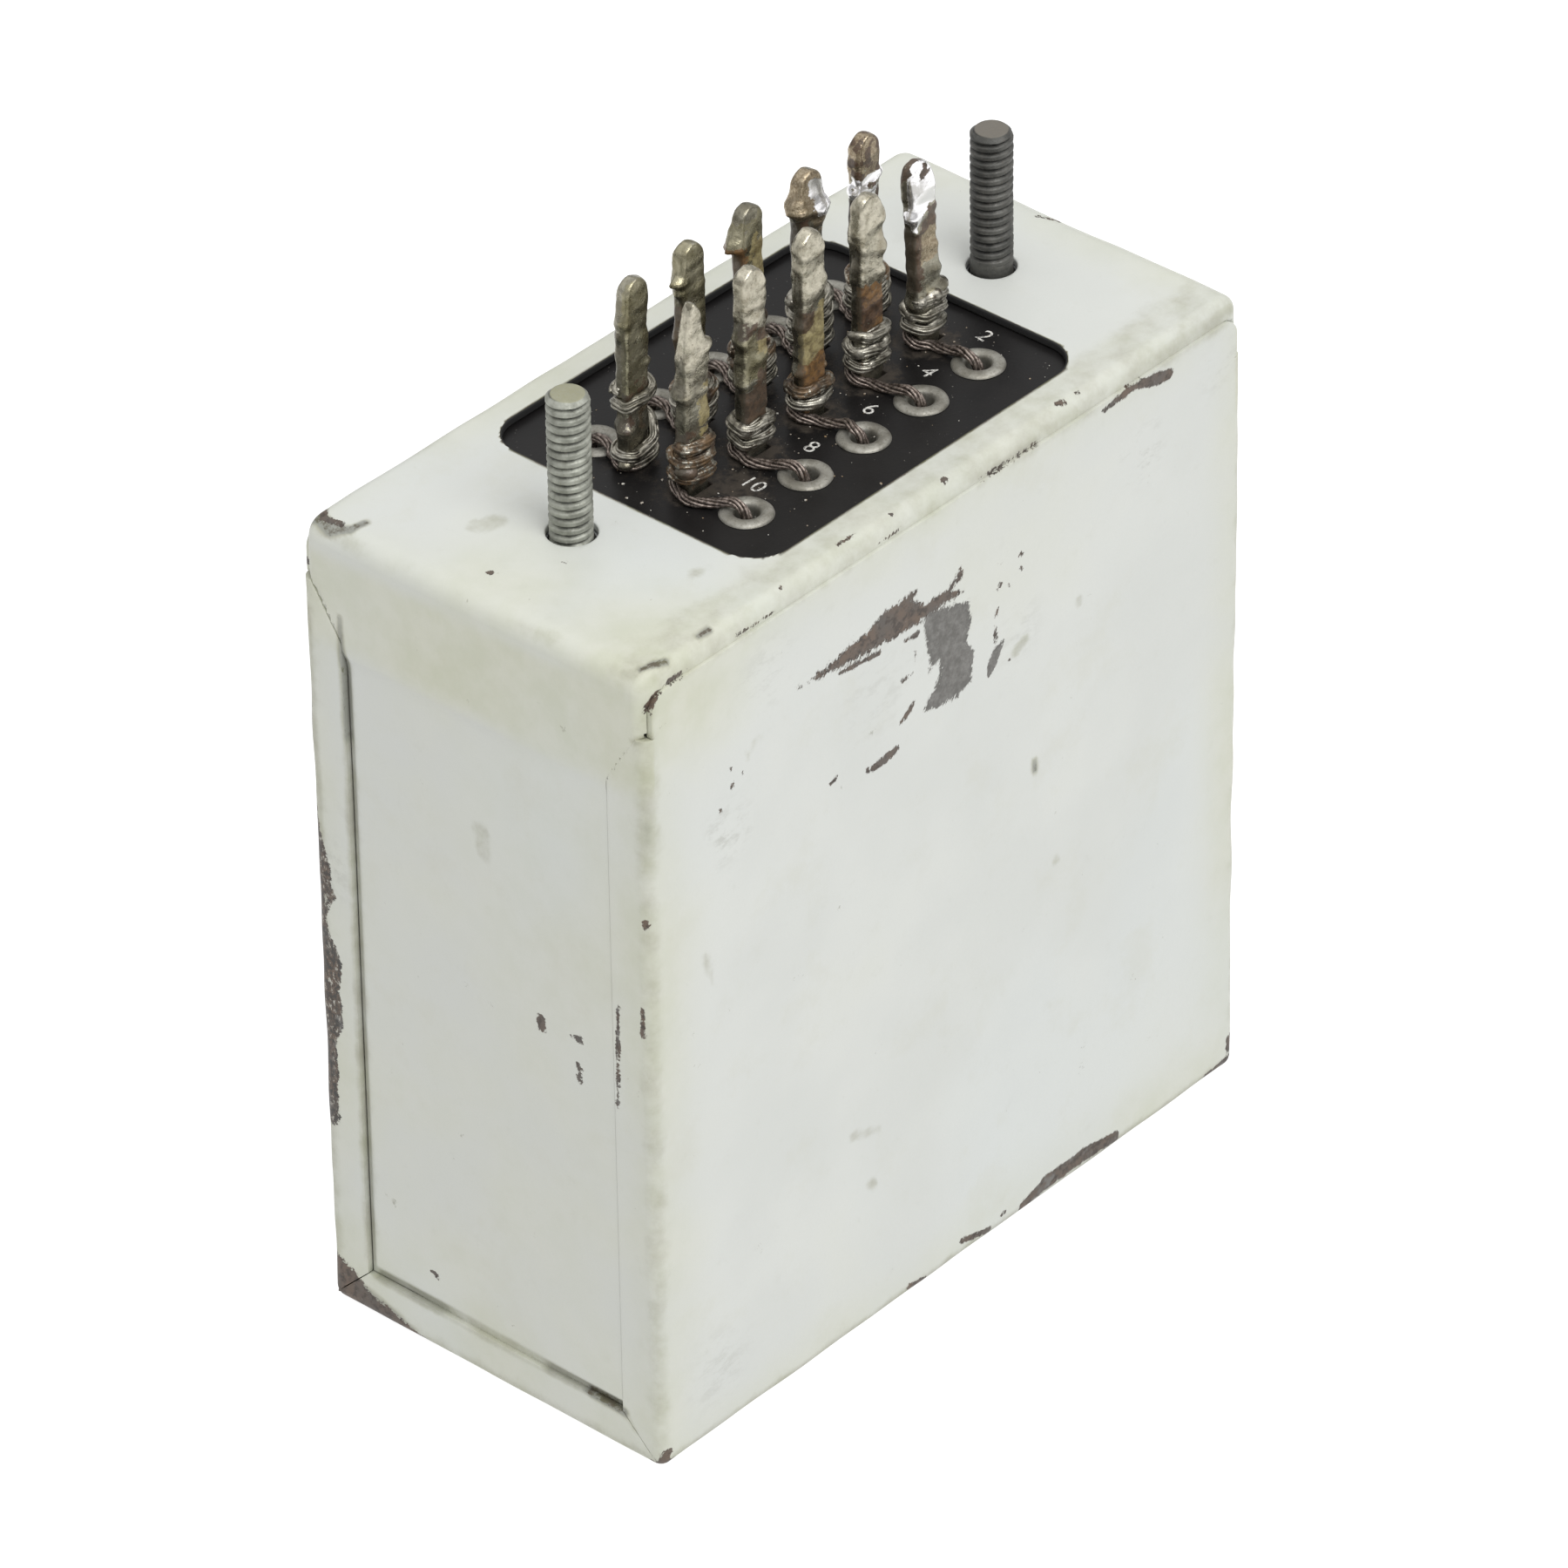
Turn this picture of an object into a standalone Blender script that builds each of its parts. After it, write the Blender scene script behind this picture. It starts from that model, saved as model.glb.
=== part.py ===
"""Solid state relay in a painted sheet-steel can.

Metres, +Z up. The origin is the middle of the underside of the can. X runs along
the can's long side and Y from its front plate to its back plate.
"""

import math

import bmesh
import bpy
from mathutils import Matrix, Vector

# Can
LENGTH = 0.0990
DEPTH = 0.0496
HEIGHT = 0.1048
SHEET = 0.0008
GAP = 0.0003
BEND = 0.0015
BEND_STEPS = 4

# Wrapper: front, bottom and back plates with flanges turned onto the end faces
FLANGE = 0.0057
FLANGE_TOP = HEIGHT - 0.0090
WRAPPER_TOP = HEIGHT - 0.0023
MITRE_GAP = 0.0003

# Cover: top plate, end panels and the lips inside the wrapper
END_BEND = 0.0030
END_BOTTOM = 0.0015
END_RECESS = SHEET + GAP
RECESS_TOP = HEIGHT - 0.0085
FLUSH_FROM = HEIGHT - 0.0036
LIP_BEND = 0.0009
LIP_INSET = 0.0004
LIP_STEP_TOP = HEIGHT - 0.0013
LIP_STEP_BOTTOM = HEIGHT - 0.0020
LIP_BOTTOM = HEIGHT - 0.0070

# Everything in the top plate sits a little right of the can's middle
PANEL_X = 0.0016
PANEL_Y = 0.0003

WINDOW_LENGTH = 0.0536
WINDOW_DEPTH = 0.0394
WINDOW_RADIUS = 0.0046

# Mounting studs, number 10 size
STUD_RADIUS = 0.0024
STUD_HOLE_RADIUS = 0.00285
STUD_SPACING = 0.0690
STUD_HEIGHT = 0.0175
STUD_CHAMFER = 0.0005
STUD_HEAD_RADIUS = 0.0042
STUD_HEAD = 0.0022

# Terminal board
BOARD_LENGTH = 0.0590
BOARD_DEPTH = 0.0446
BOARD = 0.0024
BOARD_TOP = HEIGHT - SHEET - GAP
BOARD_BOTTOM = BOARD_TOP - BOARD

# Terminals, eyelets and leads: five places in each of two rows
PLACES = 5
PITCH = 0.009525
ROW_X = PANEL_X + 0.0002
BLADE_ROWS = {"front": -0.0030, "back": 0.0052}
EYELET_ROWS = {"front": -0.0107, "back": 0.0109}
BLADE_WIDTH = 0.0034
BLADE_THICKNESS = 0.0016
BLADE_HEIGHT = 0.0232
BLADE_TAIL = 0.0050
BLADE_SHOULDER = 0.0008
SLOT_CLEARANCE = 0.0003

EYELET_FLANGE_RADIUS = 0.00305
EYELET_BARREL_RADIUS = 0.00175
EYELET_HOLE_RADIUS = 0.00142
EYELET_FLANGE = 0.0008
EYELET_FLARE_RADIUS = 0.0025
EYELET_STEPS = 14

LEAD_RADIUS = 0.0007
LEAD_TAIL = 0.0040
LEAD_SIDESTEP = 0.0013
WRAP_TURNS = 2.5
WRAP_PITCH = 0.0018
WRAP_START = 0.0022
WRAP_POINTS = 8
WRAP_FROM = math.radians(250)

# Cradle that hangs the works from the studs
CRADLE = 0.0020
CRADLE_HALF_LENGTH = 0.0455
CRADLE_WIDTH = 0.0280
CRADLE_FLOOR = 0.0120
CRADLE_BEND = 0.0030
CRADLE_TAB_GAP = 0.0004

POTTING_TOP = CRADLE_FLOOR - GAP
DECK = CRADLE_FLOOR + CRADLE + GAP

# Transformer
CORE_X = -0.0170
CORE_LEG = 0.0065
CORE_WINDOW = 0.0070
CORE_WINDOW_HEIGHT = 0.0210
CORE_STACK = 0.0160
BOBBIN_WALL = 0.0008
BOBBIN_REACH = 0.0050

# Heat sink and thyristors
SINK_LEFT = 0.0080
SINK_RIGHT = 0.0360
SINK_HALF_DEPTH = 0.0130
SINK_PLATE = 0.0030
SINK_HEIGHT = 0.0400
THYRISTORS = {"left": 0.0150, "right": 0.0290}
THYRISTOR_Z = 0.0360
THYRISTOR_STUD_RADIUS = 0.0024
THYRISTOR_FLATS = 0.0110
THYRISTOR_BASE = 0.0035
THYRISTOR_CAN_RADIUS = 0.0045
THYRISTOR_CAN = 0.0080
THYRISTOR_PIN_RADIUS = 0.0009
THYRISTOR_PIN = 0.0060
THYRISTOR_STUD = 0.0100
NUT = 0.0035
NUT_FLATS = 0.0080

# Circuit board and its standoffs
CIRCUIT_Z = 0.0620
CIRCUIT = 0.0016
CIRCUIT_LENGTH = 0.0860
CIRCUIT_DEPTH = 0.0360
STANDOFFS = {"left": -0.0403, "right": 0.0400}
STANDOFF_FLATS = 0.0045
STANDOFF_BORE = 0.0015
SCREW_RADIUS = 0.0012
SCREW_HEAD_RADIUS = 0.0025
SCREW_HEAD = 0.0015
SCREW_SHANK = 0.0050
ROUND_STEPS = 20

# Parts on the circuit board: x, y, radius and length
CIRCUIT_TOP = CIRCUIT_Z + CIRCUIT + GAP
TRANSISTORS = {"transistor_1": (-0.026, 0.010), "transistor_2": (-0.012, 0.010)}
TRANSISTOR_RADIUS = 0.0041
TRANSISTOR_HEIGHT = 0.0064
TRANSISTOR_BRIM = 0.0005
AXIAL_PARTS = {
    "resistor_1": (0.006, 0.012, 0.0022, 0.0090),
    "resistor_2": (0.022, 0.012, 0.0022, 0.0090),
    "diode_1": (0.006, 0.004, 0.0014, 0.0050),
    "diode_2": (0.022, 0.004, 0.0014, 0.0050),
    "capacitor": (-0.018, -0.009, 0.0050, 0.0200),
}
AXIAL_WIRE = 0.0004
AXIAL_STUB = 0.0025
SMALL_STEPS = 12
THROUGH = 0.012

parts = bpy.data.collections.new("solid_state_relay")
cutters = bpy.data.collections.new("cutters")
materials = {}


def clear_scene():
    for obj in list(bpy.data.objects):
        bpy.data.objects.remove(obj, do_unlink=True)


def make_materials():
    palette = {
        "painted_steel": ((0.74, 0.76, 0.72), 0.0, 0.50),
        "phenolic": ((0.03, 0.028, 0.027), 0.0, 0.45),
        "plated_steel": ((0.36, 0.37, 0.36), 1.0, 0.45),
        "solder": ((0.52, 0.50, 0.46), 1.0, 0.38),
        "tinned_brass": ((0.50, 0.49, 0.45), 1.0, 0.40),
        "tinned_copper": ((0.46, 0.37, 0.32), 1.0, 0.45),
        "aluminium": ((0.62, 0.63, 0.64), 1.0, 0.40),
        "core_iron": ((0.20, 0.20, 0.21), 1.0, 0.55),
        "nylon": ((0.75, 0.72, 0.62), 0.0, 0.50),
        "copper": ((0.62, 0.30, 0.16), 1.0, 0.40),
        "compound": ((0.05, 0.045, 0.04), 0.0, 0.60),
        "glass_epoxy": ((0.30, 0.38, 0.20), 0.0, 0.45),
        "component_body": ((0.30, 0.20, 0.12), 0.0, 0.50),
    }
    for name, (color, metallic, roughness) in palette.items():
        material = bpy.data.materials.new(name)
        material.use_nodes = True
        shader = material.node_tree.nodes["Principled BSDF"]
        shader.inputs["Base Color"].default_value = (*color, 1.0)
        shader.inputs["Metallic"].default_value = metallic
        shader.inputs["Roughness"].default_value = roughness
        materials[name] = material


def add_part(name, mesh, material, location=(0.0, 0.0, 0.0)):
    part = bpy.data.objects.new(name, mesh)
    part.location = location
    part.data.materials.clear()
    part.data.materials.append(materials[material])
    parts.objects.link(part)
    return part


def add_cutter(name, mesh):
    cutter = bpy.data.objects.new(name, mesh)
    cutter.hide_render = True
    cutter.display_type = "WIRE"
    cutters.objects.link(cutter)
    return cutter


def to_mesh(name, bm):
    bmesh.ops.recalc_face_normals(bm, faces=bm.faces)
    mesh = bpy.data.meshes.new(name)
    bm.to_mesh(mesh)
    bm.free()
    return mesh


def add_box(bm, low, high):
    low, high = Vector(low), Vector(high)
    matrix = Matrix.Translation((low + high) / 2) @ Matrix.Diagonal((*(high - low), 1.0))
    bmesh.ops.create_cube(bm, size=1.0, matrix=matrix)


def add_cylinder(bm, center, radius, height, segments=ROUND_STEPS, along="Z"):
    turn = {
        "X": Matrix.Rotation(math.pi / 2, 4, "Y"),
        "Y": Matrix.Rotation(math.pi / 2, 4, "X"),
        "Z": Matrix.Identity(4),
    }[along]
    bmesh.ops.create_cone(
        bm, cap_ends=True, segments=segments, radius1=radius, radius2=radius,
        depth=height, matrix=Matrix.Translation(center) @ turn,
    )


def box_mesh(name, low, high):
    bm = bmesh.new()
    add_box(bm, low, high)
    return to_mesh(name, bm)


def hex_radius(flats):
    return flats / math.sqrt(3.0)


def boolean(part, cutter, operation="DIFFERENCE"):
    modifier = part.modifiers.new(operation.lower(), "BOOLEAN")
    modifier.operation = operation
    modifier.solver = "EXACT"
    modifier.object = cutter


def solidify(part, thickness):
    modifier = part.modifiers.new("sheet", "SOLIDIFY")
    modifier.thickness = thickness
    modifier.offset = -1.0
    modifier.use_even_offset = True


def bevel(part, width, segments=2, angle=math.radians(40)):
    modifier = part.modifiers.new("edges", "BEVEL")
    modifier.width = width
    modifier.segments = segments
    modifier.limit_method = "ANGLE"
    modifier.angle_limit = angle


def smooth(part, angle=math.radians(35)):
    part.data.shade_smooth()
    part.data.set_sharp_from_angle(angle=angle)


def turned(name, profile, material, location, steps=ROUND_STEPS, closed=False):
    """A profile of (radius, height) points, turned about Z by a Screw modifier."""
    bm = bmesh.new()
    points = [bm.verts.new((radius, 0.0, height)) for radius, height in profile]
    for first, second in zip(points, points[1:]):
        bm.edges.new((first, second))
    if closed:
        bm.edges.new((points[-1], points[0]))
    mesh = bpy.data.meshes.new(name)
    bm.to_mesh(mesh)
    bm.free()
    part = add_part(name, mesh, material, location)
    screw = part.modifiers.new("turn", "SCREW")
    screw.steps = steps
    screw.render_steps = steps
    screw.use_merge_vertices = True
    screw.merge_threshold = 0.00001
    screw.use_smooth_shade = True
    return part


def arc(center, radius, start, end, steps):
    """Points on an arc in a plane, angles in degrees."""
    points = []
    for step in range(steps + 1):
        angle = math.radians(start + (end - start) * step / steps)
        points.append((center[0] + radius * math.cos(angle), center[1] + radius * math.sin(angle)))
    return points


def bend_moves(radius, first, second, steps=BEND_STEPS):
    """Moves that carry an edge round a quarter bend, from direction first to second."""
    first, second = Vector(first), Vector(second)
    places = []
    for step in range(steps + 1):
        angle = math.pi / 2 * step / steps
        places.append(radius * (first * math.sin(angle) + second * (1.0 - math.cos(angle))))
    return [after - before for before, after in zip(places, places[1:])]


def fold(bm, edges, moves):
    """Grows a sheet from some of its edges, move by move, and returns the last vertices."""
    last = []
    for move in moves:
        grown = bmesh.ops.extrude_edge_only(bm, edges=edges)["geom"]
        last = [item for item in grown if isinstance(item, bmesh.types.BMVert)]
        edges = [item for item in grown if isinstance(item, bmesh.types.BMEdge)]
        edges = [edge for edge in edges if all(vert in last for vert in edge.verts)]
        bmesh.ops.translate(bm, verts=last, vec=move)
    return last


def edges_in(bm, low, high):
    """The edges whose two ends lie in a box."""
    slack = 0.00001
    found = []
    for edge in bm.edges:
        if all(
            low[i] - slack <= vert.co[i] <= high[i] + slack for vert in edge.verts for i in range(3)
        ):
            found.append(edge)
    return found


def sheet_from_outline(points, start, run):
    """An open sheet: a line through the points, swept along a straight run."""
    bm = bmesh.new()
    verts = [bm.verts.new(Vector(point) + Vector(start)) for point in points]
    edges = [bm.edges.new(pair) for pair in zip(verts, verts[1:])]
    fold(bm, edges, [Vector(run)])
    return bm


def make_wrapper():
    front = -DEPTH / 2
    low = BEND + MITRE_GAP
    corner = arc((front + BEND, BEND), BEND, 180, 270, BEND_STEPS)
    slit = FLANGE_TOP + MITRE_GAP
    half = [(front, WRAPPER_TOP), (front, slit), (front, FLANGE_TOP), (front, low), *corner]
    half.append((front + low, 0.0))
    outline = half + [(-y, z) for y, z in reversed(half)]
    side = LENGTH / 2 - BEND
    bm = sheet_from_outline([(0.0, y, z) for y, z in outline], (-side, 0.0, 0.0), (2 * side, 0.0, 0.0))
    reach = FLANGE - BEND
    for end in (-1, 1):
        x = end * side
        outward = Vector((end, 0.0, 0.0))
        for plate in (-1, 1):
            y = plate * DEPTH / 2
            inward = Vector((0.0, -plate, 0.0))
            edges = edges_in(bm, (x, y, low), (x, y, FLANGE_TOP))
            last = fold(bm, edges, [*bend_moves(BEND, outward, inward), inward * reach])
            for vert in last:
                if vert.co.z < FLANGE:
                    vert.co.z += reach
            edges = edges_in(bm, (x, y, slit), (x, y, WRAPPER_TOP))
            fold(bm, edges, [outward * (BEND - LIP_INSET)])
        up = Vector((0.0, 0.0, 1.0))
        edges = edges_in(bm, (x, front + low, 0.0), (x, -front - low, 0.0))
        last = fold(bm, edges, [*bend_moves(BEND, outward, up), up * reach])
        for vert in last:
            vert.co.y -= math.copysign(reach, vert.co.y)
    wrapper = add_part("can_wrapper", to_mesh("can_wrapper", bm), "painted_steel")
    solidify(wrapper, SHEET)
    smooth(wrapper)
    return wrapper


def rounded_rectangle(center, length, depth, radius, steps=6):
    points = []
    for cx, cy, start in ((1, 1, 0), (-1, 1, 90), (-1, -1, 180), (1, -1, 270)):
        middle = (center[0] + cx * (length / 2 - radius), center[1] + cy * (depth / 2 - radius))
        points.extend(arc(middle, radius, start, start + 90, steps))
    return points


def prism(bm, points, low, high):
    """A flat outline of (x, y) points, extruded from one height to another."""
    face = bm.faces.new([bm.verts.new((x, y, low)) for x, y in points])
    grown = bmesh.ops.extrude_face_region(bm, geom=[face])["geom"]
    top = [item for item in grown if isinstance(item, bmesh.types.BMVert)]
    bmesh.ops.translate(bm, verts=top, vec=(0.0, 0.0, high - low))


def stud_places():
    return [(PANEL_X + side * STUD_SPACING / 2, PANEL_Y) for side in (-1, 1)]


def make_cover():
    recessed = -LENGTH / 2 + END_RECESS
    flush = -LENGTH / 2
    corner = arc((flush + END_BEND, HEIGHT - END_BEND), END_BEND, 180, 90, BEND_STEPS)
    half = [(recessed, END_BOTTOM), (recessed, RECESS_TOP), (flush, FLUSH_FROM), *corner]
    outline = half + [(-x, z) for x, z in reversed(half)]
    flat = DEPTH / 2 - LIP_INSET - LIP_BEND
    bm = sheet_from_outline([(x, 0.0, z) for x, z in outline], (0.0, -flat, 0.0), (0.0, 2 * flat, 0.0))
    for vert in bm.verts:
        if vert.co.z < HEIGHT - END_BEND + GAP:
            vert.co.y = math.copysign(DEPTH / 2 - END_RECESS, vert.co.y)
    down = Vector((0.0, 0.0, -1.0))
    half_flat = LENGTH / 2 - END_BEND
    for side in (-1, 1):
        outward = Vector((0.0, side, 0.0))
        edges = edges_in(bm, (-half_flat, side * flat, HEIGHT), (half_flat, side * flat, HEIGHT))
        inset = END_RECESS - LIP_INSET
        moves = [
            *bend_moves(LIP_BEND, outward, down, 3),
            down * (HEIGHT - LIP_BEND - LIP_STEP_TOP),
            down * (LIP_STEP_TOP - LIP_STEP_BOTTOM) - outward * inset,
            down * (LIP_STEP_BOTTOM - LIP_BOTTOM),
        ]
        fold(bm, edges, moves)
    cover = add_part("top_cover", to_mesh("top_cover", bm), "painted_steel")
    solidify(cover, SHEET)
    bm = bmesh.new()
    window = rounded_rectangle((PANEL_X, PANEL_Y), WINDOW_LENGTH, WINDOW_DEPTH, WINDOW_RADIUS)
    prism(bm, window, HEIGHT - 2 * SHEET, HEIGHT + SHEET)
    for x, y in stud_places():
        add_cylinder(bm, (x, y, HEIGHT), STUD_HOLE_RADIUS, THROUGH)
    boolean(cover, add_cutter("cover_openings", to_mesh("cover_openings", bm)))
    smooth(cover)
    return cover


def places(rows):
    """Name, x and y of each place: front_1 to front_5, then back_1 to back_5."""
    for row, y in rows.items():
        for place in range(PLACES):
            yield f"{row}_{place + 1}", ROW_X + (place - (PLACES - 1) / 2) * PITCH, y


def make_terminal_board():
    low = (PANEL_X - BOARD_LENGTH / 2, PANEL_Y - BOARD_DEPTH / 2, BOARD_BOTTOM)
    high = (PANEL_X + BOARD_LENGTH / 2, PANEL_Y + BOARD_DEPTH / 2, BOARD_TOP)
    board = add_part("terminal_board", box_mesh("terminal_board", low, high), "phenolic")
    bm = bmesh.new()
    half_width = BLADE_WIDTH / 2 + SLOT_CLEARANCE
    half_depth = BLADE_THICKNESS / 2 + SLOT_CLEARANCE
    middle = (BOARD_TOP + BOARD_BOTTOM) / 2
    for _, x, y in places(BLADE_ROWS):
        low = (x - half_width, y - half_depth, BOARD_BOTTOM - BOARD)
        add_box(bm, low, (x + half_width, y + half_depth, BOARD_TOP + BOARD))
    for _, x, y in places(EYELET_ROWS):
        add_cylinder(bm, (x, y, middle), EYELET_BARREL_RADIUS + GAP, 2 * BOARD, EYELET_STEPS)
    boolean(board, add_cutter("board_openings", to_mesh("board_openings", bm)))
    return board


def make_studs():
    top = HEIGHT + STUD_HEIGHT
    head_top = BOARD_TOP - CRADLE - GAP
    profile = [
        (0.0, top),
        (STUD_RADIUS - STUD_CHAMFER, top),
        (STUD_RADIUS, top - STUD_CHAMFER),
        (STUD_RADIUS, head_top),
        (STUD_HEAD_RADIUS, head_top),
        (STUD_HEAD_RADIUS, head_top - STUD_HEAD),
        (0.0, head_top - STUD_HEAD),
    ]
    for name, (x, y) in zip(("stud_left", "stud_right"), stud_places()):
        turned(name, profile, "plated_steel", (x, y, 0.0))


def make_terminals():
    half = BLADE_WIDTH / 2
    shoulder = half + BLADE_SHOULDER
    shoulder_top = BOARD_BOTTOM - GAP
    bottom = BOARD_BOTTOM - BLADE_TAIL
    tip = BOARD_TOP + BLADE_HEIGHT - half
    outline = [
        (-half, bottom),
        (half, bottom),
        (half, shoulder_top - BLADE_SHOULDER * 2),
        (shoulder, shoulder_top - BLADE_SHOULDER * 2),
        (shoulder, shoulder_top),
        (half, shoulder_top),
        *arc((0.0, tip), half, 0, 180, 8),
        (-half, shoulder_top),
        (-shoulder, shoulder_top),
        (-shoulder, shoulder_top - BLADE_SHOULDER * 2),
        (-half, shoulder_top - BLADE_SHOULDER * 2),
    ]
    bm = bmesh.new()
    prism(bm, outline, -BLADE_THICKNESS / 2, BLADE_THICKNESS / 2)
    bmesh.ops.rotate(bm, verts=bm.verts, matrix=Matrix.Rotation(math.pi / 2, 3, "X"))
    mesh = to_mesh("terminal", bm)
    for name, x, y in places(BLADE_ROWS):
        blade = add_part(f"terminal_{name}", mesh, "solder", (x, y, 0.0))
        bevel(blade, 0.0003, 1)


def make_eyelets():
    flange_low = BOARD_TOP + GAP
    flange_top = flange_low + EYELET_FLANGE
    flare_top = BOARD_BOTTOM - GAP
    rim = EYELET_FLANGE / 2
    profile = [
        (EYELET_HOLE_RADIUS, flange_top - rim / 2),
        (EYELET_HOLE_RADIUS + rim, flange_top),
        (EYELET_FLANGE_RADIUS - rim, flange_top - rim / 2),
        (EYELET_FLANGE_RADIUS, flange_low),
        (EYELET_BARREL_RADIUS, flange_low),
        (EYELET_BARREL_RADIUS, flare_top),
        (EYELET_FLARE_RADIUS, flare_top),
        (EYELET_FLARE_RADIUS, flare_top - rim),
        (EYELET_HOLE_RADIUS, flare_top - rim),
    ]
    for name, x, y in places(EYELET_ROWS):
        turned(f"eyelet_{name}", profile, "tinned_brass", (x, y, 0.0), EYELET_STEPS, closed=True)


def lead_route(row):
    """Points of a lead about its eyelet: up the hole, over the rim, along and round the blade."""
    toward = math.copysign(1.0, BLADE_ROWS[row] - EYELET_ROWS[row])
    reach = abs(BLADE_ROWS[row] - EYELET_ROWS[row])
    along = BOARD_TOP + 2 * GAP + LEAD_RADIUS
    over = along + EYELET_FLANGE
    edge = EYELET_FLANGE_RADIUS + GAP + LEAD_RADIUS
    points = [
        (0.0, 0.0, BOARD_BOTTOM - LEAD_TAIL),
        (0.0, 0.0, BOARD_TOP),
        (0.0, EYELET_HOLE_RADIUS / 3, over - GAP),
        (-LEAD_SIDESTEP / 4, EYELET_HOLE_RADIUS, over + GAP / 3),
        (-LEAD_SIDESTEP / 2, EYELET_FLANGE_RADIUS, over),
        (-LEAD_SIDESTEP, edge, along + GAP),
    ]
    # An octagon's sides cut inside its circle, so the wrap stands off by that much more
    stand_off = 1.0 / math.cos(math.pi / WRAP_POINTS)
    half_width = (BLADE_WIDTH / 2 + GAP + LEAD_RADIUS) * stand_off
    half_depth = (BLADE_THICKNESS / 2 + 2 * GAP + LEAD_RADIUS) * stand_off
    for step in range(int(WRAP_TURNS * WRAP_POINTS) + 1):
        angle = WRAP_FROM - 2 * math.pi * step / WRAP_POINTS
        y = reach + half_depth * math.sin(angle)
        z = BOARD_TOP + WRAP_START + WRAP_PITCH * step / WRAP_POINTS
        points.append((half_width * math.cos(angle), y, z))
    return [(x, toward * y, z) for x, y, z in points]


def make_leads():
    for name, x, y in places(EYELET_ROWS):
        points = lead_route(name.split("_")[0])
        curve = bpy.data.curves.new(f"lead_{name}", "CURVE")
        curve.dimensions = "3D"
        curve.bevel_depth = LEAD_RADIUS
        curve.bevel_resolution = 2
        curve.use_fill_caps = True
        spline = curve.splines.new("POLY")
        spline.points.add(len(points) - 1)
        for point, place in zip(spline.points, points):
            point.co = (*place, 1.0)
        add_part(f"lead_{name}", curve, "tinned_copper", (x, y, 0.0))


def make_cradle():
    top = BOARD_TOP
    left_edge = PANEL_X - BOARD_LENGTH / 2 - CRADLE_TAB_GAP
    right_edge = PANEL_X + BOARD_LENGTH / 2 + CRADLE_TAB_GAP
    side = CRADLE_HALF_LENGTH
    outline = [
        (left_edge, top),
        (-side, top),
        (-side, CRADLE_FLOOR),
        (side, CRADLE_FLOOR),
        (side, top),
        (right_edge, top),
    ]
    half = CRADLE_WIDTH / 2
    bm = sheet_from_outline([(x, 0.0, z) for x, z in outline], (0.0, -half, 0.0), (0.0, 2 * half, 0.0))
    corners = [e for e in bm.edges if abs(e.verts[0].co.x) > side - GAP and e.calc_length() > half]
    bmesh.ops.bevel(
        bm, geom=corners, offset=CRADLE_BEND, segments=3, profile=0.5, affect="EDGES",
        clamp_overlap=False, offset_type="OFFSET",
    )
    cradle = add_part("mounting_cradle", to_mesh("mounting_cradle", bm), "aluminium")
    solidify(cradle, CRADLE)
    bm = bmesh.new()
    for x, y in stud_places():
        add_cylinder(bm, (x, y, top), STUD_RADIUS + GAP, 4 * CRADLE)
    boolean(cradle, add_cutter("cradle_holes", to_mesh("cradle_holes", bm)))
    smooth(cradle)
    return cradle


def make_potting():
    half_length = LENGTH / 2 - END_RECESS - SHEET - GAP
    half_depth = DEPTH / 2 - SHEET - GAP
    low = (-half_length, -half_depth, SHEET + GAP)
    high = (half_length, half_depth, POTTING_TOP)
    compound = add_part("potting_compound", box_mesh("potting_compound", low, high), "compound")
    bevel(compound, 0.001, 1)
    return compound


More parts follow.
